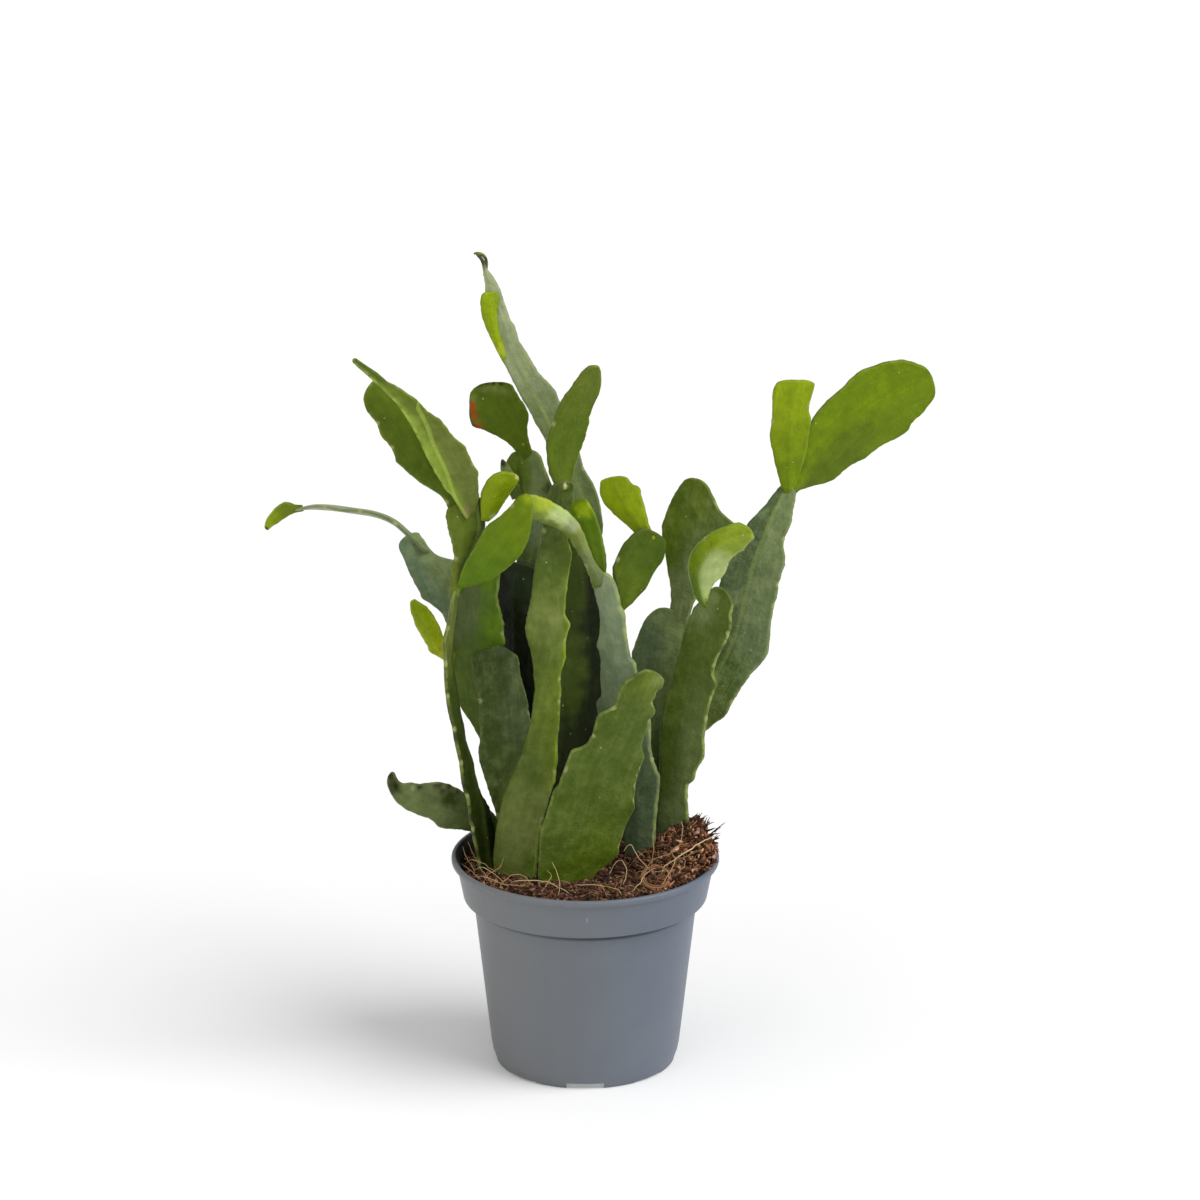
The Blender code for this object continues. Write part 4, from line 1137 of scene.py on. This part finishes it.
        dict(path=[(-25, 43, 268), (-33, 45, 283), (-38.4, 48, 292), (-38.6, 51, 302)], right=(1, 0, 0.2),
             fold=0.3, tip=8, left_edge=[(0, 2), (4, 2.4), (8, 3.6), (13, 5.4), (17, 7.5), (21, 10),
             (23.4, 11.4), (24.6, 14.6), (26, 14.4), (29, 13), (32, 12.4), (35, 11), (37.4, 7)],
             right_edge=[(0, 3), (8, 4), (14, 6.6), (18, 10), (23, 10.5), (30, 10), (34, 9), (37.4, 6)],
             tints=(leaf, leaf), bloom=0.0, rims=(0.0, 0.0), patches=((35, -6, 2.2, haze),
             (35.4, -2, 2.2, haze), (35, 2, 2.0, haze), (31, -10.6, 2.0, haze), (38, 1, 1.1, deep),
             (38, -2, 1.1, deep), (38, -5, 1.1, deep), (37.4, -8, 1.2, deep), (29.5, -11.4, 1.5, rust),
             (27, -11.6, 1.6, rust), (24.6, -11.8, 1.4, rust), (31, -13.6, 1.4, dry), (28, -14.2, 1.3, dry),
             (25.4, -14.6, 1.3, dry))),
        dict(path=[(-30, 40, 252, 3), (-34, 39, 261, 3), (-37, 38, 270, 1.5)], right=(0.9, 0, 0.3), teeth=0,
             tip=6, tints=(moss, sage), patches=((-1, 0, 2.0, dry),)),
    ]),
    # A blade, the tallest segment on it with a dried tip, and a narrow flap along its left edge. The blade's
    # front is painted in shade, darkest towards its right, and its far side keeps its own green.
    "shoot_tall_back": ("dark_green", [
        dict(path=[(-5, 16, 81, 7), (-4, 16, 93, 8), (-2, 18, 135, 10), (0, 22, 172, 12),
             (-1, 26, 208, 10.5), (0, 30, 238, 8)], right=(0.82, 0.57, 0), teeth=1, left_edge=[(0, 12),
             (12, 16), (34, 19.5), (60, 18), (90, 16.5), (130, 14), (159, 10)], tints=(moss, shade),
             right_tint=painted_shade_green, back_tint=moss, rims=(0.0, 0.0), bloom=0.05, patches=((40, -8, 12, painted_shade_green),
             (62, -7, 11, painted_shade_green), (56, 5, 8, painted_shade_green), (84, 4, 8, painted_shade_green), (112, 5, 8, painted_shade_green))),
        dict(path=[(0, 30, 231), (-2.5, 31, 251), (-9.5, 32, 272), (-21.5, 35, 299), (-32, 39, 319),
             (-37.5, 43, 337), (-43.5, 47, 352), (-45.5, 49, 358), (-48, 50, 361)], right=(0.9, 0, 0.45),
             fold=0.3, tip=4, left_edge=[(0, 4), (30, 5), (54, 4.2), (60, 4.8), (76, 5.8), (90, 5.2),
             (104, 4.6), (118, 4.4), (124, 3.4), (127, 2.2), (133, 0.8), (137, 0.5), (141.6, 0.5)],
             right_edge=[(0, 6), (8, 9), (20, 9.4), (28, 8.8), (36, 7), (44, 8.2), (50, 9.2), (68, 9.2),
             (72, 9.5), (75, 8.6), (80, 6.8), (86, 6.4), (93, 5.9), (99, 4.7), (106, 4.6), (110, 3.2),
             (117, 3), (122, 3.6), (127, 3.3), (131, 2.4), (134, 1), (138, 1.1), (141.6, 0.9)],
             ridge=[(0, 3), (30, 2), (60, 1), (80, -1), (100, 9)], tints=(sage, ash), rims=(0.1, 0.2),
             bloom=0.5, patches=((-3, 0, 4.0, dry), (8, 5, 12, sage), (60, -3, 10, sage))),
        dict(path=[(-29.2, 35.6, 304.6), (-37.6, 37.4, 320), (-42, 39.6, 334), (-42.6, 42, 346)],
             right=(0.9, 0.3, 0.3), tip=6, young=True, left_edge=[(0, 1.0), (10, 1.0), (20, 1.4), (28, 2.4),
             (36, 3.6), (40, 3.9), (43, 3.6), (44.6, 3)], right_edge=[(0, 1.0), (10, 1.4), (20, 2.6),
             (28, 3), (36, 3.8), (40, 4.6), (43, 4.8), (44.6, 4.4)], tints=(lime, lime), bloom=0.0,
             rims=(0.1, 0.1), patches=((18, 1, 3, sunny),)),
        dict(path=[(-44.4, 48, 351.5, 0.6), (-43.6, 49, 356, 0.6), (-43.9, 49.5, 359, 0.6),
             (-45.5, 50, 360.8, 0.6), (-47.7, 50, 361.4, 0.5), (-49.3, 50, 361.2, 0.4)],
             right=(0.7, -0.4, 0.6), teeth=0, tip=2, tints=(ash, dry), bloom=0.0,
             patches=((-4, 0, 6, dry),)),
    ]),
    # A blue-grey blade. An arched leaf and a small one stand on its top, and a chain of two at its right. The
    # arched leaf has pale patches along its middle as a painted highlight.
    "shoot_right_centre": ("blue_green", [
        dict(path=[(25, 8, 81), (25, 8, 92), (26, 8, 120), (21, 6, 151), (15, 3, 185), (11, 0, 212),
             (7, -2, 230)], right=(0.82, -0.57, 0), left_edge=[(0, 7), (40, 12), (60, 15), (80, 17),
             (86, 16.2), (89, 12.6), (92, 12.2), (106, 9.5), (111, 9), (114, 9.8), (119, 7.8), (132, 6.2),
             (141, 6), (148, 6.6), (152, 5)], right_edge=[(0, 6.6), (30, 6.8), (40, 7.7), (48, 10.2),
             (52, 11.4), (54, 10.3), (60, 9.4), (67, 9.5), (77, 11), (90, 10), (103, 9.8), (108, 9.6),
             (110, 7.4), (124, 7), (132, 7.4), (134, 5.9), (146, 6.4), (150, 5.6), (152, 4)],
             tints=(slate, frost), rims=(0.8, 0.8), bloom=0.5, patches=((148, 0, 5, ash),
             (20, 0, 16, slate), (56, 4, 10, slate))),
        dict(path=[(7, -1, 224), (1, -8, 240), (-6.2, -15.6, 255.8), (-15.5, -24, 264.2),
             (-26.5, -31, 272)], right=(0.9, 0, 0.4), right_end=(0.35, 0.2, 0.9), young=True,
             left_edge=[(0, 4), (6, 3.4), (14, 3), (22, 3.4), (36, 4.4), (50, 5.4), (60, 5.6), (66, 3.8),
             (70, 1)], right_edge=[(0, 4), (6, 3), (14, 1.8), (22, 2.2), (36, 3.4), (44, 4.2), (50, 4.8),
             (60, 5), (66, 3.8), (70, 1)], tints=(sage, sunny), left_tint=olive, rims=(0.4, 0.2), bloom=0.2,
             gloss=0.35, patches=((12, 1, 9, sage), (50, 0.9, 4.2, pale), (44, 1.0, 4.4, pale),
             (38, 1, 4, ash), (66, 0, 6, lime))),
        dict(path=[(7, 0, 224), (4, 3, 240), (1, 5, 252), (-3, 7, 261)], right=(0.9, 0, 0.45), young=True,
             left_edge=[(0, 2.4), (6, 4), (14, 6), (26, 7.4), (33, 7.6), (37, 6.4), (40, 4)],
             right_edge=[(0, 2.4), (6, 3.6), (11, 4.6), (18, 4.6), (26, 4.6), (32, 4.2), (37, 3.6),
             (40, 2.6)], tints=(leaf, grass), bloom=0.0, rims=(0.0, 0.3), patches=((34, 0, 4, lime),)),
        dict(path=[(13, 1, 209), (18, 3, 221), (24, 6, 235), (30, 8, 246)], right=(0.8, 0.4, -0.36), tip=8,
             left_edge=[(0, 2), (4, 1.6), (11, 4.3), (16, 8.2), (20, 10.3), (24, 10.2), (28, 10.5),
             (31, 10.6), (34, 9.6), (37, 8), (39, 6.8), (41.6, 5)], right_edge=[(0, 2.4), (4, 3.5),
             (6, 5.2), (11, 7.5), (16, 9.8), (22, 10), (27, 10.8), (31, 12), (35, 10.8), (38, 9.6),
             (41.6, 7)], tints=(leaf, fern), bloom=0.05, rims=(0.1, 0.3)),
        dict(path=[(29, 8, 241), (22, 12, 250.5), (15.2, 15.5, 261), (13.8, 17, 268.5)],
             right=(0.72, -0.4, 0.54), right_end=(0.98, -0.2, 0.1), tip=6, young=True, left_edge=[(0, 3),
             (6, 3.8), (12, 5.4), (18, 7.2), (24, 8.6), (28, 8.6), (31, 7.2), (33.2, 6.8)],
             right_edge=[(0, 2.8), (6, 4), (12, 6.5), (18, 8.4), (22, 9.6), (25, 9.4), (28, 7.4), (31, 5.8),
             (33.2, 4.7)], tints=(lime, lime), bloom=0.0, rims=(0.1, 0.1)),
    ]),
    # The broad blade at the front.
    "shoot_front": ("fresh_green", [
        dict(path=[(-10, -22, 81), (-9, -22, 92), (-3, -23, 107), (3, -25, 129), (7, -28, 147),
             (14, -30, 162), (21, -33, 179), (28, -35, 196)], right=(0.87, 0.38, -0.28), tip=10,
             left_edge=[(0, 11), (11, 13.4), (18, 16.8), (27, 19.6), (36, 21.3), (50, 20.5), (59, 20.2),
             (62, 18.2), (68, 17.5), (72, 18), (75, 18.6), (76, 17), (77, 13.8), (80, 12.2), (85, 12),
             (90, 13), (94, 14), (96, 14.4), (98, 13.2), (100, 10.5), (101.4, 8.6), (105, 8.8), (111, 9.4),
             (114, 9), (117, 6.6), (120, 4.8), (122.7, 2.2)], right_edge=[(0, 8), (10, 10), (16, 12.2),
             (20, 13.8), (22, 15.8), (26, 18.8), (28, 19.4), (32, 18.8), (43, 19.4), (48, 20.2), (51, 20.8),
             (54, 18.8), (58, 19.2), (61, 18.3), (66, 18.9), (68, 18), (73, 18.4), (75, 17.4), (78, 17.6),
             (81, 17.2), (84, 13.2), (88, 12), (94, 11.8), (98, 11), (102, 12.2), (104, 11.5), (107, 8.4),
             (110, 8.8), (113, 8.2), (116, 10.2), (118, 9.8), (120, 8.8), (122, 6), (122.7, 2)],
             tints=(moss, moss), rims=(0.5, 0.6), bloom=0.25, patches=((20, 10, 14, leaf),
             (118, 4, 8, olive), (119, 6, 3.5, haze), (8, 0, 12, leaf))),
    ]),
    # A slightly folded blade at the right, with a folded leaf at its left shoulder. The folded leaf's right
    # face is painted pale as a painted reflection of the lamp.
    "shoot_right": ("blue_green", [
        dict(path=[(37, 14, 81), (37, 13, 94), (39, 12, 118), (43, 10, 150), (48, 9, 176), (54, 7, 203),
             (61, 6, 220)], right=(0.85, -0.5, -0.18), fold=0.2, tip=10, left_edge=[(0, 5), (17, 5.4),
             (48, 7.4), (70, 10), (83, 10.8), (88, 10), (93, 9.4), (108, 8.8), (120, 8.8), (128, 8.2),
             (132, 6.5), (138, 5.4), (142, 3)], right_edge=[(0, 7), (17, 8.8), (21, 10), (29, 10.5),
             (36, 9.5), (43, 8), (48, 7.8), (51, 10.6), (56, 11), (60, 12.8), (64, 14.8), (69, 14.2),
             (72, 12.8), (76, 12), (82, 11.8), (89, 12), (96, 12.5), (100, 13.5), (103, 10.2), (108, 9.8),
             (112, 10.2), (118, 11.8), (124, 13.2), (126, 12.4), (129, 13), (132, 11.2), (134, 9.8),
             (138, 9), (140.6, 7.4), (142, 3)], tints=(sage, moss), left_tint=moss, rims=(0.2, 1.0),
             bloom=0.3, patches=((20, -2, 12, sage), (130, -4, 6, sage))),
        dict(path=[(55, 7, 206), (51, 4, 226), (56, 0, 239), (65, -5, 245), (74, -8, 249)],
             right=(0.95, -0.2, -0.1), right_end=(0.3, -0.1, -0.95), fold=-0.35, young=True,
             left_edge=[(0, 1), (7, 2.2), (8, 4), (12, 5), (18, 6.2), (22, 7.2), (26, 7.5), (32, 7.2),
             (36, 6.8), (44, 7.2), (51, 7.4), (54, 6.6), (57.6, 3)], right_edge=[(0, 1), (10, 2), (16, 5.2),
             (20, 9), (24, 9.8), (29, 10), (36, 8.6), (40, 8.2), (46, 6), (50, 5.5), (53, 3.4),
             (57.6, 1.4)], tints=(grass, lime), right_tint=pale, bloom=0.1, gloss=0.3, rims=(0.2, 0.5),
             patches=((50, 0, 8, lime), (5, 0, 5, grass))),
    ]),
    # The long blade that leans out to the right, with a bright cut leaf and the largest leaf.
    "shoot_far_right": ("blue_green", [
        dict(path=[(37, 26, 81), (38, 27, 110), (43, 28, 139), (50, 29, 153), (59, 31, 168),
             (69.5, 34, 188), (76.5, 40, 218), (84.5, 46, 241), (91, 50, 254)], right=(0.82, -0.3, -0.38),
             fold=0.2, left_edge=[(0, 4), (60, 5), (90, 13), (120, 14.5), (134, 14.5), (150, 12.5),
             (163, 10), (167, 8.6), (174, 5.4), (184, 3.6), (186.3, 2.4)], right_edge=[(0, 4), (30, 8),
             (36, 8.4), (40, 7.5), (64, 9.6), (70, 7.6), (82, 12.3), (88, 11.4), (100, 11.8), (104, 12.2),
             (112, 15.1), (118, 13.7), (124, 12.3), (132, 12), (136, 12.6), (142, 12), (152, 12.6),
             (156, 11.4), (160, 9), (163, 8.4), (168, 9), (172, 9), (176, 7.7), (182, 5.9), (186.3, 4)],
             ridge=[(80, -1), (110, -2), (150, -1), (180, 0)], tints=(slate, sage), left_tint=stone,
             rims=(0.2, 0.2), bloom=0.8, patches=((84, 0, 16, moss), (70, -2, 12, haze))),
        dict(path=[(91, 49, 250), (92, 48, 269), (92, 46, 286), (94, 44, 305)], right=(1, 0.2, 0), tip=5,
             young=True, left_edge=[(0, 2), (6, 4.4), (16, 7.6), (26, 9.6), (30, 9.8), (36, 9.2),
             (48, 10.4), (51, 10.2), (54, 9), (55.4, 8)], right_edge=[(0, 2), (8, 4), (20, 7), (36, 9),
             (40, 7.6), (44, 7.3), (50, 8.4), (54, 8.8), (55.4, 8)], tints=(vivid, lime), bloom=0.0,
             rims=(0.1, 0.3)),
        dict(path=[(92, 50, 250), (106, 56, 266), (122, 61, 280.5), (139.5, 65, 292), (156, 68, 298)],
             right=(0.6, 0.3, -0.7), tip=16, left_edge=[(0, 2), (10, 7), (20, 13), (30, 17), (40, 18.8),
             (48, 19.1), (54, 20.7), (58, 20.8), (62, 19.2), (66, 18.3), (74, 14.7), (78, 11.4), (82, 8),
             (84.5, 5)], right_edge=[(0, 1.6), (4, 2), (14, 10.2), (18, 12.3), (28, 14.2), (36, 17.1),
             (48, 17.9), (54, 19.2), (60, 19.6), (63, 18.8), (66, 16.6), (70, 15.7), (75, 14.6), (78, 12.2),
             (80, 10.2), (82, 8.6), (84.5, 5)], tints=(leaf, vivid), left_tint=vivid, rims=(0.3, 0.4),
             bloom=0.0, patches=((24, 6, 12, leaf),)),
    ]),
    # A blade behind the right one, with a pointed segment on it.
    "shoot_back_right": ("dark_green", [
        dict(path=[(22, 35, 81), (24, 35, 94), (29, 36, 125), (32, 38, 158), (34, 40, 182), (37, 42, 199)],
             right=(0.9, -0.32, 0), tip=12, left_edge=[(0, 5), (30, 9), (60, 12), (86, 12.6), (90, 13.4),
             (96, 13.4), (100, 12.6), (106, 10.8), (112, 9.2), (116, 7), (119.3, 3)], right_edge=[(0, 6),
             (30, 10), (60, 13), (90, 14.5), (108, 13), (116, 11), (119.3, 7)], tints=(shade, sage),
             rims=(0.2, 0.4), bloom=0.4, patches=((100, -6, 9, slate),)),
        dict(path=[(39.5, 41, 192), (42, 43, 212), (44.5, 46, 228), (47, 49, 239), (49, 52, 257)],
             right=(0.87, -0.4, 0), left_edge=[(0, 3), (8, 2.4), (10, 2.6), (17, 4), (26, 7), (33, 9),
             (38, 11.2), (42, 12.5), (50, 11.7), (55, 10.4), (58, 9), (62, 6.8), (65, 5), (67.4, 3)],
             right_edge=[(0, 7), (10, 8.4), (20, 11), (36, 14), (43, 18.5), (46.5, 24), (48.5, 24.6),
             (50.5, 20), (53, 15), (56, 12), (60, 9.6), (63, 7.8), (65, 5.8), (67.4, 3)],
             tints=(sage, moss), left_tint=leaf, bloom=0.35, patches=((14, 4, 9, sage), (58, 2, 7, olive))),
    ]),
}

blade_number = 0
for node, (slot, blades) in SHOOTS.items():
    shoot = Shoot()
    for blade in blades:
        blade_number += 1
        shoot.blade(blade_number, **blade)
    put(node.replace("shoot", "blades"), shoot.mesh(node), slot, node)
